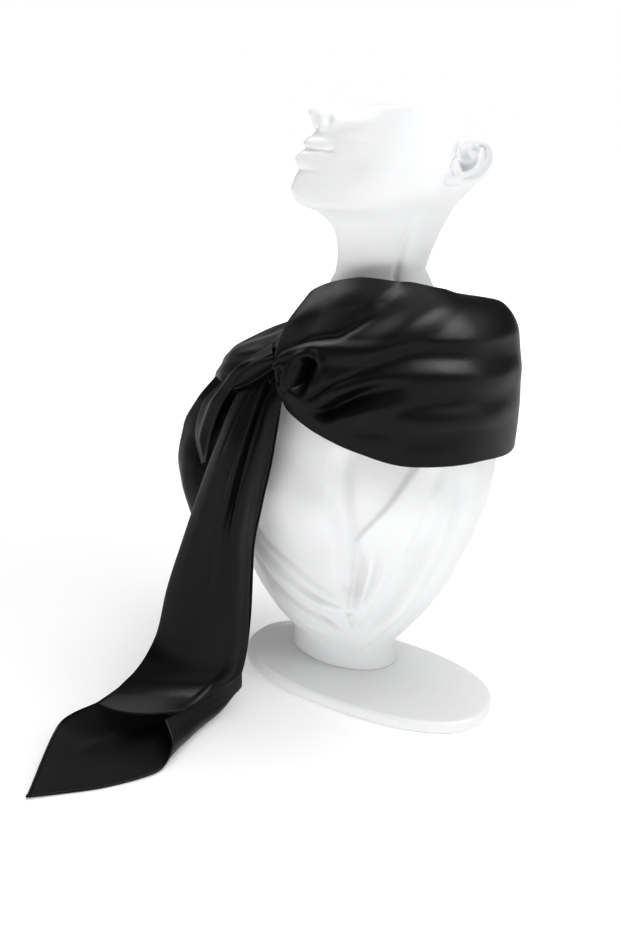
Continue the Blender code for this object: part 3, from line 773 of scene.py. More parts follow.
# %% Long end, front layer
LONG_SIZE = (0.37, 0.085)
LONG_FRONT = Table(
    EDGE_COLUMNS,
    (0, -71, -76, 320, -38, -80.2, 316, 3),
    (0.08, -81, -88, 298, -43, -84, 293, 9),
    (0.18, -92, -98, 264, -47, -90, 258, 14),
    (0.32, -105, -109, 220, -57, -92, 213, 16),
    (0.46, -119, -119, 172, -67, -93, 163, 17),
    (0.6, -132, -130, 122, -69, -96, 112, 17),
    (0.71, -137, -140, 85, -70, -99, 74, 14),
    (0.79, -144, -151, 63, -73, -104, 47, 10),
    (0.86, -150, -167, 48, -80, -120, 37, 6),
    (0.93, -158, -188, 39, -89, -148, 35, 3),
    (1, -173, -210, 33, -99, -180, 35, 1),
)
LONG_FOLDS = (
    # narrow bright ridge from the catch, with the dark valley on its right
    (((0, 0.56), (0.046, 0.58), (0.096, 0.585), (0.137, 0.575), (0.183, 0.555), (0.23, 0.53),
      (0.3, 0.515), (0.4, 0.5)), 3.6, 5, 3, 0.05, 0.55),
    (((0, 0.68), (0.068, 0.67), (0.119, 0.655), (0.174, 0.64), (0.237, 0.628), (0.301, 0.618),
      (0.361, 0.612), (0.46, 0.61)), 7, 5.5, -3.8, 0.05, 0.45),
    (((0.22, 0.63), (0.361, 0.612), (0.434, 0.618), (0.502, 0.612), (0.6, 0.62), (0.7, 0.66)),
     11, 10, -3.4, 0.35, 0.5),
    # fat roll along the right
    (((0.02, 0.86), (0.068, 0.88), (0.142, 0.87), (0.21, 0.831), (0.288, 0.8), (0.374, 0.808),
      (0.475, 0.84), (0.562, 0.855), (0.658, 0.85), (0.76, 0.85)), 9.5, 9, 3.8, 0.1, 0.4),
    (((0.137, 1), (0.205, 0.96), (0.288, 0.955), (0.365, 0.965), (0.484, 1)), 4, 4, -1.8, 0.3, 0.3),
    # pleats at the left of the catch and the long slack hollow under them
    (((0, 0.3), (0.06, 0.3), (0.12, 0.26), (0.24, 0.2)), 4.2, 4.2, -2.2, 0.1, 0.6),
    (((0, 0.44), (0.05, 0.45), (0.11, 0.42)), 3, 3, -1.6, 0.1, 0.5),
    (((0.16, 0.34), (0.3, 0.32), (0.46, 0.28), (0.64, 0.26)), 16, 16, -1.6, 0.4, 0.5),
    # swell where it has turned onto the floor, and the ridge that runs round it
    (((0.83, -0.2), (0.83, 0.5), (0.83, 1.2)), 36, 36, 4.5, 0, 0),
    (((0.62, 0.86), (0.72, 0.86), (0.8, 0.87), (0.87, 0.92), (0.95, 1.02)), 8, 6.5, 2.4, 0.3, 0.2),
)
long_front_laid = Laid(strip_rule(LONG_FRONT, LONG_FOLDS, LONG_SIZE, (0.045, 0.03)))
long_front = lay_sheet(
    "long_end_front_satin", long_front_laid, stations(LONG_SIZE[0], 250, end="hem"),
    stations(LONG_SIZE[1], 84, start="fold", end="fold", back=0.008),
)

# %% [markdown]
# Behind it lies the cloth's second layer. It shows only as a dark slit along the right edge and
# where the end opens on the floor, and it needs just a few long folds.

# %% Long end, layer underneath
UNDER_SIZE = (0.31, 0.065)
LONG_UNDER = Table(
    EDGE_COLUMNS,
    (0, -70.4, -75.1, 318.8, -40, -78.3, 314, -1),
    (0.1, -79, -83, 294, -45, -78, 290, -2),
    (0.24, -87, -92, 258, -49, -83, 254, -3),
    (0.42, -99, -103, 214, -59, -85, 209, -4),
    (0.6, -113, -112, 166, -69, -86, 160, -4),
    (0.8, -127, -123, 117, -71, -89, 107, -4),
    (0.92, -135, -133, 82, -76.5, -90.5, 58, -3),
    (0.98, -143, -144, 57, -85, -92.5, 19, -2),
    (1, -145.5, -149, 50, -85.5, -93.5, 12, -1),
)
UNDER_FOLDS = (
    (((0, 0.35), (0.4, 0.33), (0.8, 0.4)), 8, 8, -2.6, 0.1, 0.3),
    (((0, 0.66), (0.35, 0.64), (0.75, 0.58), (0.98, 0.6)), 7, 7, 2, 0.2, 0.2),
    (((0.3, 0.85), (0.6, 0.82), (0.95, 0.8)), 6, 6, -2, 0.3, 0.2),
)
under_laid = Laid(strip_rule(LONG_UNDER, UNDER_FOLDS, UNDER_SIZE))
under = lay_sheet(
    "long_end_under_satin", under_laid, stations(UNDER_SIZE[0], 150),
    stations(UNDER_SIZE[1], 44, start="fold", end="fold", back=0.006), (REVERSE, SATIN),
)

# %% [markdown]
# ## The corner on the floor
# The square's corner lies on the floor with its dull reverse up. Its two hems meet in the tip,
# the near side curls over so that the satin face shows again, and the far side rises to meet
# the front layer. The table gives six points across the sheet at five stations: hem, low, middle,
# flat, swell and turned edge.

# %% Corner sheet
FLOOR = 0.65
CORNER = Table(
    "along hx hy hz lx ly lz mx my mz fx fy fz sx sy sz tx ty tz",
    (0, -142.5, -147.5, 64, -132, -137, 45, -116, -124, 33, -99, -106, 18, -84.2, -90, 14, -80.2,
     -92.5, 36),
    (0.3, -152, -170, 46.2, -138, -158, 12, -116, -140, FLOOR, -95, -124, FLOOR, -84.2, -118, 12,
     -91, -130, 32.5),
    (0.6, -162, -194, 37.5, -152, -190, 6, -124, -172, FLOOR, -96, -156, FLOOR, -86.5, -150, 14, -97,
     -157, 31),
    (0.8, -186, -221, 21, -160, -217, 1, -125, -198, FLOOR, -96, -178, FLOOR, -86.5, -170, 15, -99,
     -169, 31.5),
    (1, -163, -283, 1.5, -143, -266, FLOOR, -116, -242, FLOOR, -89, -206, 2, -85.5, -191, 17, -100,
     -180, 33),
)
CORNER_SIZE = (0.17, 0.15)
CORNER_SWELLS = (
    (((0.15, 0.3), (0.5, 0.42), (0.9, 0.4)), 20, 18, 1.6, 0.4, 0.3),
    (((0.35, 0.66), (0.65, 0.62), (1, 0.66)), 10, 10, 1.2, 0.3, 0.1),
    (((0.05, 0.82), (0.4, 0.86), (0.8, 0.88)), 5, 5, -1.4, 0.3, 0.4),
    (((0, 0.92), (0.25, 0.94), (0.55, 0.95)), 4, 4, 1.6, 0.2, 0.4),
)


def corner_rule(along, across):
    six = np.linspace(0, 1, 6)
    spots = [
        through(six, [CORNER.metres(stop + axis, along) for stop in "hlmfst"], across)
        for axis in "xyz"
    ]
    p = np.stack(spots, axis=-1)
    rise = relief(CORNER_SWELLS, along, across, CORNER_SIZE)
    p[:, 2] = np.maximum(p[:, 2] + rise, FLOOR * MM)
    return p


corner_laid = Laid(corner_rule)
corner = lay_sheet(
    "long_end_corner_satin", corner_laid,
    stations(CORNER_SIZE[0], 120, end="hem", roll=0.0009, up=1),
    stations(CORNER_SIZE[1], 110, start="hem", roll=0.0009, up=1), (REVERSE, SATIN),
)

# %% [markdown]
# ## The short end and the catch
# The short end comes out of the catch and falls over the far shoulder in two layers, a long
# one behind and a narrow one in front. Each is a strip between two edges, like the long end.

# %% Short end in two layers
THIN_ROLL = 0.0006          # the hem of the two narrow pieces is rolled tighter
SHORT_BACK = Table(
    EDGE_COLUMNS,
    (0, -123.5, -53.3, 302, -98, -56.6, 292, 1),
    (0.16, -140, -59, 281, -98, -63, 268, 3),
    (0.38, -157, -59, 253.5, -104, -66, 242, 4),
    (0.62, -162.2, -62.9, 224, -109.2, -73.9, 215.5, 6),
    (0.8, -156.4, -67.7, 201.5, -116.4, -78.7, 193, 6),
    (1, -141, -74.3, 170.8, -128, -78.3, 164.8, 2),
)
SHORT_FRONT = Table(
    EDGE_COLUMNS,
    (0, -56.1, -65.4, 343, -47, -83, 340, 1),
    (0.22, -86.8, -61.8, 323.6, -70.5, -84, 326, 1),
    (0.42, -111, -61, 301.4, -86.5, -85, 306, 1),
    (0.62, -128.8, -67.2, 280.5, -98.5, -86, 287, 1),
    (0.8, -134.7, -71.7, 255.1, -107.5, -86, 265.5, 1),
    (1, -125, -78, 228, -117.5, -83, 234, 0),
)
SHORT_BACK_SIZE = (0.15, 0.05)
SHORT_BACK_FOLDS = (
    (((0.15, 0.2), (0.4, 0.24), (0.7, 0.22), (0.95, 0.3)), 10, 12, 1, 0.3, 0.3),
    (((0, 0.62), (0.35, 0.64), (0.75, 0.6)), 9, 10, -2.4, 0.2, 0.4),
    (((0.3, 0.88), (0.6, 0.86), (0.9, 0.8)), 5, 5, 1.2, 0.3, 0.3),
)
SHORT_FRONT_SIZE = (0.14, 0.026)
SHORT_FRONT_FOLDS = (
    (((0.1, 0.84), (0.4, 0.82), (0.7, 0.78), (1, 0.6)), 10, 3.6, 4.2, 0.2, 0.2),
    (((0.2, 0.3), (0.5, 0.28), (0.85, 0.3)), 7, 9, -1.4, 0.3, 0.3),
)
short_back_laid = Laid(strip_rule(SHORT_BACK, SHORT_BACK_FOLDS, SHORT_BACK_SIZE))
short_back = lay_sheet(
    "short_end_back_satin", short_back_laid, stations(SHORT_BACK_SIZE[0], 110),
    stations(SHORT_BACK_SIZE[1], 40, start="fold", end="hem", back=0.006),
)
short_front_laid = Laid(strip_rule(SHORT_FRONT, SHORT_FRONT_FOLDS, SHORT_FRONT_SIZE))
short_front = lay_sheet(
    "short_end_front_satin", short_front_laid, stations(SHORT_FRONT_SIZE[0], 110),
    stations(SHORT_FRONT_SIZE[1], 30, start="hem", end="fold", back=0.005, roll=THIN_ROLL),
)

# %% [markdown]
# A little leaf of cloth from the catch lies between the short end and the long one, its hollow
# face towards us. It has no folds, only a bulge, and both its edges are hems.

# %% Leaf from the catch
LEAF = Table(
    EDGE_COLUMNS,
    (0, -43.2, -88.5, 338.5, -43.2, -88.5, 331, -2),
    (0.35, -61, -89, 331.5, -58, -89, 320, -2.5),
    (0.7, -75.5, -88, 320.5, -71, -88, 312, -2),
    (1, -84.5, -87, 309.5, -82, -87, 307.5, -1),
)
LEAF_SIZE = (0.055, 0.012)
leaf_laid = Laid(strip_rule(LEAF, (), LEAF_SIZE))
leaf = lay_sheet(
    "catch_leaf_satin", leaf_laid, stations(LEAF_SIZE[0], 50),
    stations(LEAF_SIZE[1], 22, start="hem", end="hem", roll=THIN_ROLL),
)

# %% [markdown]
# ## Slip stitches
# A rolled hem is closed by hand with tiny stitches about four millimetres apart, and only a
# speck of each shows. One stitch is a little eight-sided bead drawn out along the hem; it is
# copied to every place, so it has only a few faces.

# %% Stitches along the hems
def stitch_row(bm, laid, ends, lift, apart=0.0042, long=0.0013, thick=0.00016):
    """Beads along a hem from one point of the sheet's square to another."""
    (a0, c0), (a1, c1) = ends
    s = np.linspace(0, 1, 200)
    line = laid.at(a0 + (a1 - a0) * s, c0 + (c1 - c0) * s, out=lift)
    run = np.concatenate([[0], np.cumsum(np.linalg.norm(np.diff(line, axis=0), axis=1))])
    count = int(run[-1] / apart)
    for k in range(count):
        at = (k + 0.5) * apart
        spot = Vector([float(np.interp(at, run, line[:, i])) for i in range(3)])
        ahead = Vector([float(np.interp(at + 0.001, run, line[:, i])) for i in range(3)]) - spot
        if ahead.length < 1e-6:
            continue
        turned = ahead.to_track_quat("Z", "Y").to_matrix().to_4x4()
        shape = Matrix.Translation(spot) @ turned @ Matrix.Diagonal((thick, thick, long / 2, 1))
        bmesh.ops.create_icosphere(bm, subdivisions=1, radius=1, matrix=shape)
    return count


HEMS = (
    # sheet, first and last point on its square, how far out the thread lies
    (long_front_laid, ((0.992, 0.04), (0.992, 0.98)), 0.0006),
    (corner_laid, ((0.02, 0.02), (0.98, 0.02)), 0.00035),
    (corner_laid, ((0.98, 0.02), (0.98, 0.98)), 0.00035),
    (short_back_laid, ((0.02, 0.95), (0.98, 0.95)), 0.0004),
    (short_front_laid, ((0.02, 0.08), (0.98, 0.08)), 0.0004),
)
bm = bmesh.new()
made = sum(stitch_row(bm, laid, ends, lift) for laid, ends, lift in HEMS)
bm.loops.layers.uv.new("Cloth")
stitches = add_piece("hem_stitches", bm, (THREAD,))
print(made, "stitches")

# %% [markdown]
# ## The bust
# The bust is one closed skin. A grid is rolled into a tube: one side of the grid becomes the
# turn round the neck, the other the way up, and the rings follow two tables, one for the torso
# and one for the turned head. Ring tables beat sculpting here because the solid underneath was
# built from the same rows, so the skin can't drift away from it.

# %% Rings of the bust
NECK_AXIS = np.array((0.007, 0.013, 0.0))
FACING = math.radians(209.7)
LOOKS = np.array((math.cos(FACING), math.sin(FACING), 0.0))
SIDE = np.array((-math.sin(FACING), math.cos(FACING), 0.0))
UPRIGHT = np.array((0.0, 0.0, 1.0))
TORSO = Table(
    "z x y half front back tilt",
    (12.3, -33, 22, 56, 36, 34, 0),
    (30, -33, 21, 53, 36, 34, 0),
    (60, -36, 19, 74, 46, 40, 0),
    (90, -35, 17, 93, 56, 45, 0),
    (125, -30, 14, 107, 64, 50, 0),
    (170, -19, 12, 112, 72, 55, 0),
    (215, -8, 11, 115, 78, 58, 0.02),
    (260, -2, 11, 113, 76, 60, 0.06),
    (300, 2, 11, 112, 66, 58, 0.12),
    (325, 4, 11, 106, 55, 52, 0.15),
    (345, 5, 12, 94, 47, 52, 0.16),
    (360, 3, 12, 68, 43, 51.5, 0.14),
    (374, -1.5, 12, 48.5, 41, 47.5, 0.06),
)
HEAD = Table(
    "station front_f front_z back_f back_z half narrow relief lift spread arch",
    (0, 44, 394, -30, 398, 37, 0, 0, 0, 12, 0),
    (1, 42.3, 410, -34, 411, 36.5, 0, 0, 0, 12, 0),
    (2, 44.3, 423.5, -40, 426, 37.5, 0, 0, 0, 12, 0),
    (3, 49.7, 433.7, -46, 438, 40, 0, 0, 0, 12, 0),
    (4, 60.4, 442.9, -52, 448, 46, 0.04, 0, 0, 14, 0),
    (5, 71.5, 448.5, -58, 455, 52, 0.1, 3, 0, 16, 0),
    (6, 73.5, 454, -62, 460, 55.5, 0.15, 5, 0, 17, 0),
    (7, 74.5, 460, -66, 464, 57, 0.2, 5.5, 0, 17, 0),
    (8, 72.5, 467.7, -70, 469, 58.5, 0.25, 5, 0, 16, 0),
    (9, 70, 474.1, -73, 472, 59.5, 0.3, 3.6, 0, 15, 0),
    (10, 68.8, 477.6, -75, 474, 60, 0.32, 6.8, 0, 16, 0),
    (11, 67, 482.6, -77, 478, 60, 0.34, 9.7, 0, 16.5, 0),
    (12, 65.5, 486.9, -77.5, 480, 60, 0.35, 8, 0, 18, 0),
    (13, 64.5, 489.9, -78, 482, 60, 0.35, 4.2, 0, 20, 0),
    (14, 63, 494, -78, 484.5, 60, 0.35, 6.9, 0, 18, 0),
    (15, 61.5, 497.7, -78, 487, 60, 0.34, 5.4, 0, 14, 0),
    (16, 60.4, 499.4, -78, 488, 60, 0.33, 3, 0, 10, 0),
    (17, 59, 502.6, -77, 490, 60, 0.32, 1.8, 0, 9, 1),
    (18, 57.3, 505.8, -76.5, 492, 59.8, 0.31, 5, 0, 9, 2),
    (19, 54, 509.5, -75.5, 494, 59.6, 0.29, 9.8, 0.2, 11, 3.5),
    (20, 50, 513, -74, 496.5, 59.4, 0.27, 16, 2, 11.5, 5),
    (21, 44, 516, -72, 499, 59.2, 0.25, 18, 3, 10.5, 7),
    (22, 39, 517.8, -70.5, 500.5, 59, 0.24, 16, 4.8, 9.5, 8.8),
    (23, 35, 518.8, -70, 501, 58.6, 0.23, 9.5, 9.2, 10, 10),
)

# %% [markdown]
# The carved drapery is written like the cloth's folds, but on the bust's own front: millimetres
# to the bust's left and millimetres up. The hidden back gets a quieter version of it.

# %% Carved drapery
CARVE_DEPTH = 1.4
DRAPERY = (
    # the two breasts and the hollow between them
    (((-70, 216), (-50, 207), (-34, 196)), 42, 42, 4.5, 0, 0),
    (((30, 230), (46, 224), (62, 216)), 40, 40, 4, 0, 0),
    (((5, 270), (6, 228), (8, 190), (7, 150), (5, 112)), 14, 16, -4, 0.2, 0.1),
    # left drape: its upper edge on the skin, its rolled band, and the hollow and slit below
    (((-112, 178), (-100, 163), (-79, 149), (-56, 139), (-19, 117), (1, 109)), 4, 6, -2.4, 0.1, 0.2),
    (((-115, 162), (-104, 150), (-85, 133), (-66, 120), (-35, 102), (-3, 90)), 10, 9, 4.6, 0.1, 0.2),
    (((-50, 118), (-24, 104), (0, 96)), 3, 3, -1.8, 0.4, 0.2),
    (((-112, 142), (-98, 124), (-82, 104), (-63, 90), (-30, 76), (-4, 72)), 4.5, 5.5, -3.4, 0.1, 0.3),
    (((-40, 89), (-24, 74), (-10, 62)), 3, 3, -4, 0.3, 0.3),
    (((-94, 104), (-72, 80), (-46, 62), (-18, 52)), 8, 8, 3, 0.2, 0.3),
    (((-74, 66), (-50, 46), (-20, 36)), 5, 5, -1.8, 0.3, 0.3),
    # right drape: its crossing edge and the long folds that run down to the knot
    (((80, 275), (66, 253), (58, 239), (47, 220), (35, 203), (20, 181), (13, 168)),
     3, 20, 3, 0.1, 0.2),
    (((22, 172), (19, 160), (16, 143), (10, 111), (5, 91)), 3.4, 3.4, -3.6, 0.3, 0.2),
    (((14, 160), (12, 140), (6, 112), (2, 92)), 3.4, 3.4, 2.4, 0.3, 0.2),
    (((36, 180), (33, 153), (24, 125), (13, 99)), 3.6, 4, -3.4, 0.4, 0.2),
    (((28, 168), (26, 150), (18, 122), (9, 96)), 4, 4, 2.2, 0.3, 0.2),
    (((52, 172), (43, 141), (30, 114), (14, 88)), 6, 6, -2.4, 0.4, 0.2),
    (((83, 246), (74, 206), (56, 160), (36, 114), (10, 70)), 7, 10, -3, 0.3, 0.1),
    (((94, 240), (86, 200), (68, 150), (44, 102), (16, 62)), 9, 9, 3, 0.3, 0.2),
    (((101, 250), (94, 214), (78, 162), (52, 104)), 6, 8, -2.2, 0.2, 0.3),
    (((88, 268), (81, 240), (74, 222)), 4, 4, -2, 0.1, 0.5),
    (((-20, 30), (4, 46), (28, 78), (56, 120)), 5, 14, 3, 0.3, 0.3),
    # the knot they meet in
    (((0, 92), (4, 82), (4, 70)), 6, 6, 3.4, 0.2, 0.2),
    (((4, 90), (6, 78)), 2.2, 2.2, -2.4, 0.3, 0.3),
)
BACK_DRAPERY = (
    (((0, 360), (0, 260), (-4, 150)), 16, 16, -3.5, 0.2, 0.3),
    (((-60, 270), (-40, 220)), 34, 34, 3, 0, 0),
    (((60, 270), (40, 220)), 34, 34, 3, 0, 0),
    (((-115, 160), (-70, 128), (0, 112), (70, 140), (104, 190)), 9, 9, 4, 0.1, 0.1),
    (((-112, 140), (-60, 104), (10, 94), (80, 124)), 6, 6, -3, 0.2, 0.2),
    (((-90, 100), (-40, 78), (20, 76), (60, 96)), 8, 8, 2.6, 0.3, 0.3),
)

# %% [markdown]
# The face is finished the way a thumb works in clay: each row of forms has a centre, how far it
# reaches and how far it pushes, and works on both sides at once. The neck's long muscles are
# folds again, seen from the side.

# %% Modelled face and neck
HEAD_FORMS = (
    # centre ahead, aside, up; reach; push, all in millimetres
    (57.5, 12.0, 508.0, 5.5, 4.2, 5.0, 1.6, 3.2, 0.2),      # wing of the nose
    (50.5, 17.0, 510.5, 3.0, 3.6, 6.0, -1.2, -2.0, 0),      # groove behind it
    (60.0, 7.0, 503.2, 3.4, 2.6, 2.6, -1.2, 0, 3.4),        # nostril
    (66.0, 0, 500.0, 4.0, 2.2, 4.0, -0.9, 0, 0),            # groove above the lip
    (62.0, 12.0, 489.9, 13.0, 16.0, 1.5, -1.9, -1.0, 0),    # line of the mouth
    (50.0, 27.0, 489.6, 4.5, 4.5, 3.0, -1.5, -2.0, 0),      # its corner
    (60.0, 16.0, 474.0, 12.0, 10.0, 3.5, -1.0, -0.6, 0),    # hollow over the chin
    (30.0, 46.0, 508.0, 17.0, 14.0, 8.0, 1.0, 2.4, 0),      # cheekbone
    (30.0, 44.0, 480.0, 18.0, 14.0, 12.0, -0.6, -2.4, 0),   # hollow of the cheek
    (36.0, 36.0, 450.0, 34.0, 14.0, 4.0, 0.6, 1.8, 0),      # edge of the jaw
    (24.0, 34.0, 438.0, 26.0, 16.0, 6.0, 0, -2.6, 0),       # hollow beneath it
    (-22.0, 50.0, 463.0, 12.0, 12.0, 8.0, 0, 2.2, 0),       # corner of the jaw
)
NECK_FORMS = (
    (((-34, 462), (-20, 432), (-13, 410), (-6, 388)), 11, 11, 2.6, 0.3, 0.1),
    (((-12, 444), (-8, 427), (-5, 413), (-1, 396), (3, 385)), 4, 4, -1.6, 0.3, 0.1),
    (((-17, 409), (-24, 412), (-30, 415)), 3.5, 3.5, -2.2, 0.3, 0.3),
)

MUSCLE_START = 0.02         # metres from the middle, where a neck muscle has its full height


def modelled(p):
    """Works every modelled form of neck and head into the skin."""
    away = p - NECK_AXIS
    spot = np.stack([away @ LOOKS, np.abs(away @ SIDE), away[:, 2]], axis=-1)
    sign = np.sign(away @ SIDE)
    muscle = carved(NECK_FORMS, spot[:, 0], spot[:, 2])
    spot[:, 1] += muscle * np.clip(spot[:, 1] / MUSCLE_START, 0, 1)
    for row in HEAD_FORMS:
        centre, reach, push = np.array(row).reshape(3, 3) * MM
        share = np.exp(-(((spot - centre) / reach) ** 2).sum(axis=1))
        spot = spot + push * share[:, None]
    out = spot[:, :1] * LOOKS + (sign * spot[:, 1])[:, None] * SIDE
    out[:, 2] += spot[:, 2]
    return out + NECK_AXIS


# %% [markdown]
# The torso's rings are ovals with a deeper front than back, tilted where the shoulders slope. The
# head's rings lie aslant between a point on the face's middle line and one behind, with the nose
# and lips raised on that line. More of the grid's lines are crowded where detail needs them.

# %% Rings of torso and head
CROWDING = 0.45             # how strongly the grid's lines draw together
BACK_FULLNESS = 0.10        # how much wider the back of the head is
CHEST_TURN = 1.05           # radians from the face's direction to the middle of the chest
DRAPED_SIDE = 2.5           # how fast the carving starts beyond the bust's flanks


def torso_point(turn, level):
    z = TORSO.along[0] + (TORSO.along[-1] - TORSO.along[0]) * level
    x, y, half, front, behind = (TORSO.metres(k, z) for k in "x y half front back".split())
    c = np.cos(turn + FACING)
    s = np.sin(turn + FACING)
    depth = np.where(s > 0, behind, front)
    spot = np.stack([x + half * c, y + depth * s, z * MM + TORSO("tilt", z) * half * c], axis=-1)
    out = unit(np.stack([c / half, s / depth, 0 * z], axis=-1))
    draped = carved(DRAPERY, spot[:, 0], spot[:, 2]) * CARVE_DEPTH
    depth_of_cut = draped * np.clip(-DRAPED_SIDE * s, 0, 1)
    depth_of_cut += carved(BACK_DRAPERY, spot[:, 0], spot[:, 2]) * np.clip(DRAPED_SIDE * s, 0, 1)
    return spot + out * depth_of_cut[:, None]


def head_point(turn, level):
    station = level * HEAD.along[-1]
    row = {k: HEAD.metres(k, station)[:, None] for k in list(HEAD.columns)[1:]}
    narrow = HEAD("narrow", station)[:, None]
    fore = NECK_AXIS + row["front_f"] * LOOKS + row["front_z"] * UPRIGHT
    aft = NECK_AXIS + row["back_f"] * LOOKS + row["back_z"] * UPRIGHT
    ahead = (fore - aft) / 2
    c = np.cos(turn)[:, None]
    s = np.sin(turn)[:, None]
    aside = row["half"] * s * (1 - narrow * np.clip(c, 0, 1) ** 2)
    aside = aside * (1 + BACK_FULLNESS * np.clip(-c, 0, 1))
    spot = (fore + aft) / 2 + ahead * c + SIDE * aside + UPRIGHT * row["arch"] * s * s
    share = np.exp(-((aside / row["spread"]) ** 2)) * (c > 0)
    return modelled(spot + (unit(ahead) * row["relief"] + UPRIGHT * row["lift"]) * share)


def bust_point(turn, level):
    """A point of the skin: turn goes once round from the face, level 0 to 1 torso, to 2 head."""
    turn = turn - CROWDING * np.sin(turn - np.interp(level, (0.7, 1.0), (CHEST_TURN, 0.0)))
    body = torso_point(turn, np.clip(level, 0, 1))
    head = head_point(turn, np.clip(level - 1, 0, 1))
    return np.where((level <= 1)[:, None], body, head)


print("rings given:", len(TORSO.along), "of the torso,", len(HEAD.along), "of the head")


# %% [markdown]
# An ear is a thin curled shell, so it is built by itself: a grid is bent into a disc, once over
# its face and once over its back, inside a measured outline. The rolled rim, the ridge within
# it and the bowl are folds again. It is set slightly flared against the side of the head.

# %% Outline and folds of an ear
EAR_START = -199            # degrees, where the outline is closed in front
EAR_MIDDLE = (0.0093, 0.0030)
EAR_DOME = 0.0014           # how far its face bulges
EAR_THICK = 0.0030
EAR_ROOT = 0.0120           # how deep its back reaches into the head
EAR_FLARE = math.radians(16)
EAR_PLACE = (-0.0415, 0.055, 0.4815)
EAR_RIM = Table(
    "angle reach",
    (-199, 9.9), (-158, 14.2), (-149, 19.7), (-139, 23.8), (-129, 22.8), (-114, 19.2), (-87, 16),
    (-71, 16.2), (-52, 17.1), (-34, 17.7), (-14, 18.7), (3, 19.6), (16, 20.2), (31, 20), (50, 19.6),
    (68, 18.5), (93, 16.7), (126, 14.2), (161, 9.9),
)
EAR_FORMS = (
    # rolled rim, the groove inside it, and the ridge that forks at the top
    (((5, 6.5), (0.5, 8), (1, 12.5), (8.5, 17.2), (15.8, 18), (21.2, 16), (25, 12), (27, 8), (27, 4),
      (25.4, -1.5), (22.2, -6.2), (17, -9.8), (9.5, -11.6)), 2.7, 2.7, 3.4, 0.1, 0.2),
    (((13, 14), (18.5, 14.6), (22.2, 11.8), (22.8, 6), (20.5, 0.5), (16.5, -4), (10.2, -7.6),
      (3, -9)), 2.8, 3, -2.2, 0.2, 0.2),
    (((19.6, 13.8), (18, 10.5), (16.8, 6), (15.8, 2), (12.5, -2), (6.2, -5.4), (0.3, -7.2)),
     2.8, 2.8, 3, 0.1, 0.1),
    (((16.5, 7.2), (12, 9.2), (8.8, 10.3)), 2.4, 2.4, 1.8, 0.1, 0.2),
    (((15.5, 11.8), (11.5, 13.2)), 2.8, 2.8, -2.4, 0.1, 0.1),
    # bowl, the small flap before it, the notch and the lobe
    (((9, 6.8), (11.2, 3.6), (8, 0), (3.5, -2.2)), 6.8, 6.8, -7.5, 0, 0.1),
    (((-2.2, 5.8), (-2.8, 2), (-4.8, -3)), 3.6, 3.6, 3.4, 0.2, 0.2),
    (((-1.5, -5.5), (-4, -6.2)), 2, 2, -1.6, 0, 0),
    (((-5, -11), (0, -11)), 5, 5, 1.2, 0, 0),
)


# %% Ear
def ear_point(angle, level):
    """A point of the ear in its own plane: level 0 to 1 is its face, 1 to 2 its back."""
    share = np.where(level < 1, level, 2 - level)
    reach = EAR_RIM.metres("reach", angle) * share
    u = EAR_MIDDLE[0] + reach * np.cos(np.radians(angle))
    v = EAR_MIDDLE[1] + reach * np.sin(np.radians(angle))
    dome = np.sqrt(np.clip(1 - share**4, 0, 1))
    face = EAR_DOME * dome + carved(EAR_FORMS, u, v) * (1 - share**16)
    back = -EAR_THICK * dome - EAR_ROOT * (1 - share**2)
    return np.stack([u, v, np.where(level < 1, face, back)], axis=-1)


def rolled_tube(bm, spots_of, round_cells, up_cells):
    """A grid whose one side runs once round, laid by a rule and closed where it meets itself."""
    made = bmesh.ops.create_grid(bm, x_segments=round_cells, y_segments=up_cells, size=0.5)["verts"]
    i = np.rint(np.array([v.co.x + 0.5 for v in made]) * round_cells)
    j = np.rint(np.array([v.co.y + 0.5 for v in made]) * up_cells)
    for v, p in zip(made, spots_of(i / round_cells, j)):
        v.co = Vector(p)
    bmesh.ops.remove_doubles(bm, verts=made, dist=1e-6)


def add_ear(bm, sign, round_cells=100, up_cells=84):
    def spots_of(turn, j):
        p = ear_point(EAR_START + 360 * turn, 2 * j / up_cells)
        back = -LOOKS * math.cos(EAR_FLARE) + sign * SIDE * math.sin(EAR_FLARE)
        out = LOOKS * math.sin(EAR_FLARE) + sign * SIDE * math.cos(EAR_FLARE)
        ahead, aside, up = EAR_PLACE
        place = NECK_AXIS + LOOKS * ahead + sign * SIDE * aside + UPRIGHT * up
        return place + p[:, :1] * back + p[:, 1:2] * UPRIGHT + p[:, 2:] * out

    rolled_tube(bm, spots_of, round_cells, up_cells)


# %% [markdown]
# The skin is rolled up in one go: torso, four blended rings at the neck, head, and a last few
# rings that draw together into the sunken top. The ears are set in as closed shells.

# %% Skin of the bust
NECK_RINGS = 4


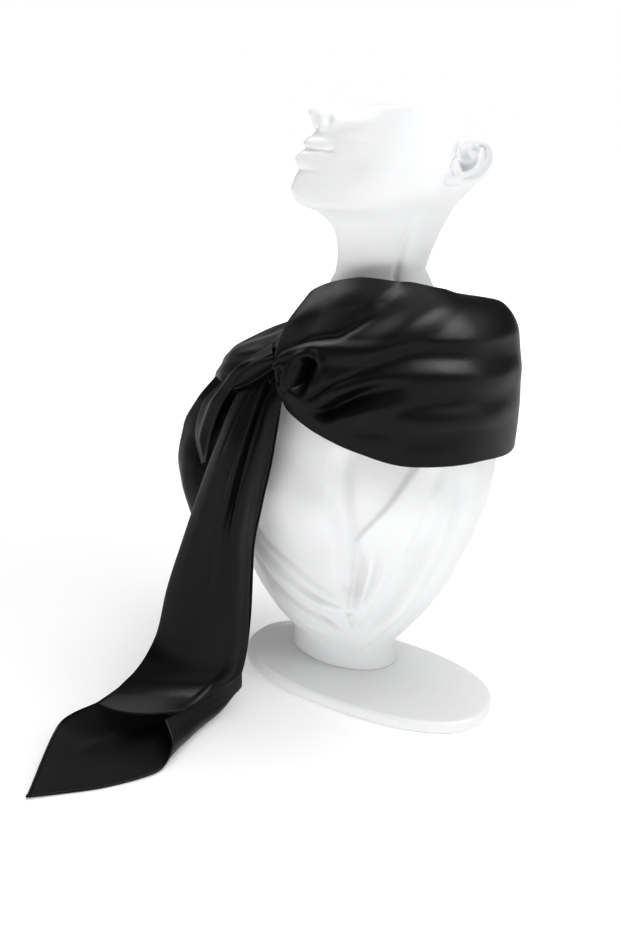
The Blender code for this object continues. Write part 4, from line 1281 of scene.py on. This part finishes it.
def build_bust(round_cells=230, torso_cells=190, head_cells=126, cap_cells=14):
    def spots_of(turn, j):
        turn = turn * 2 * np.pi
        neck_top = torso_cells + NECK_RINGS
        crown = neck_top + head_cells
        blend = np.interp(j, [torso_cells, neck_top], [0, 1])[:, None]
        low = np.minimum(j / torso_cells, 1.0)
        high = 1 + np.clip((j - neck_top) / head_cells, 0, 1) + 1e-9
        spots = bust_point(turn, low) * (1 - blend) + bust_point(turn, high) * blend
        middle = spots[j == crown].mean(axis=0)
        t = np.clip((j - crown) / cap_cells, 0, 1)[:, None]
        flat = middle + (spots - middle) * (1 - t)
        flat[:, 2:] = middle[2] + (spots[:, 2:] - middle[2]) * (1 - t) ** 2
        return np.where(t > 0, flat, spots)

    bm = bmesh.new()
    rolled_tube(bm, spots_of, round_cells, torso_cells + NECK_RINGS + head_cells + cap_cells)
    bmesh.ops.holes_fill(bm, edges=[e for e in bm.edges if e.is_boundary], sides=0)
    for sign in (1, -1):
        add_ear(bm, sign)
    bmesh.ops.recalc_face_normals(bm, faces=bm.faces)
    print("bust faces:", len(bm.faces), "open edges:", sum(e.is_boundary for e in bm.edges))
    return bm


bust = add_piece("bust_skin", build_bust(), (WHITE,))

# %% [markdown]
# ## The oval base
# The base is a cast slab, an oval a little squarer than an ellipse, with a soft rounded edge. A
# cylinder's rim is pushed to that outline and both rims are bevelled.

# %% Base
BASE_HALF = (0.1265, 0.0605)
BASE_THICK = 0.012
BASE_EDGE = 0.0032
OVAL_POWER = 2 / 2.4        # 1 is an ellipse; less is squarer


def build_base(segments=160):
    bm = bmesh.new()
    bmesh.ops.create_cone(
        bm, cap_ends=True, segments=segments, radius1=1, radius2=1, depth=BASE_THICK
    )
    for v in bm.verts:
        angle = math.atan2(v.co.y, v.co.x)
        c = math.cos(angle)
        s = math.sin(angle)
        v.co.x = BASE_HALF[0] * math.copysign(abs(c) ** OVAL_POWER, c)
        v.co.y = BASE_HALF[1] * math.copysign(abs(s) ** OVAL_POWER, s)
        v.co.z += BASE_THICK / 2
    rims = [e for e in bm.edges if abs(e.verts[0].co.z - e.verts[1].co.z) < 1e-6]
    bmesh.ops.bevel(
        bm, geom=rims, offset=BASE_EDGE, segments=5, profile=0.5, affect="EDGES", material=-1
    )
    return bm


base = add_piece("oval_base", build_base(), (BASE_WHITE,))
for polygon in base.data.polygons:
    polygon.use_smooth = abs(polygon.normal.z) < 0.999
print("base faces:", len(base.data.polygons))

# %% [markdown]
# ## Riding on the body
# Every piece rides on the one body and replaces its plain solid, which is hidden.

# %% Riding and replacing
PIECES = (
    (front, "scarf_front_band", "black_satin"),
    (back, "scarf_back_band", "black_satin"),
    (far, "scarf_far_band", "black_satin"),
    (long_front, "scarf_long_end_front", "black_satin"),
    (under, "scarf_long_end_under", "black_satin"),
    (corner, "scarf_long_end_corner", "black_satin"),
    (short_back, "scarf_short_end_back", "black_satin"),
    (short_front, "scarf_short_end_front", "black_satin"),
    (leaf, "scarf_catch_leaf", "black_satin"),
    (bust, "display_bust", "bust_paint"),
    (base, "display_base", "bust_paint"),
)
for piece, node, finish in PIECES:
    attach(piece, "root")
    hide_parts(node)
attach(stitches, "root")
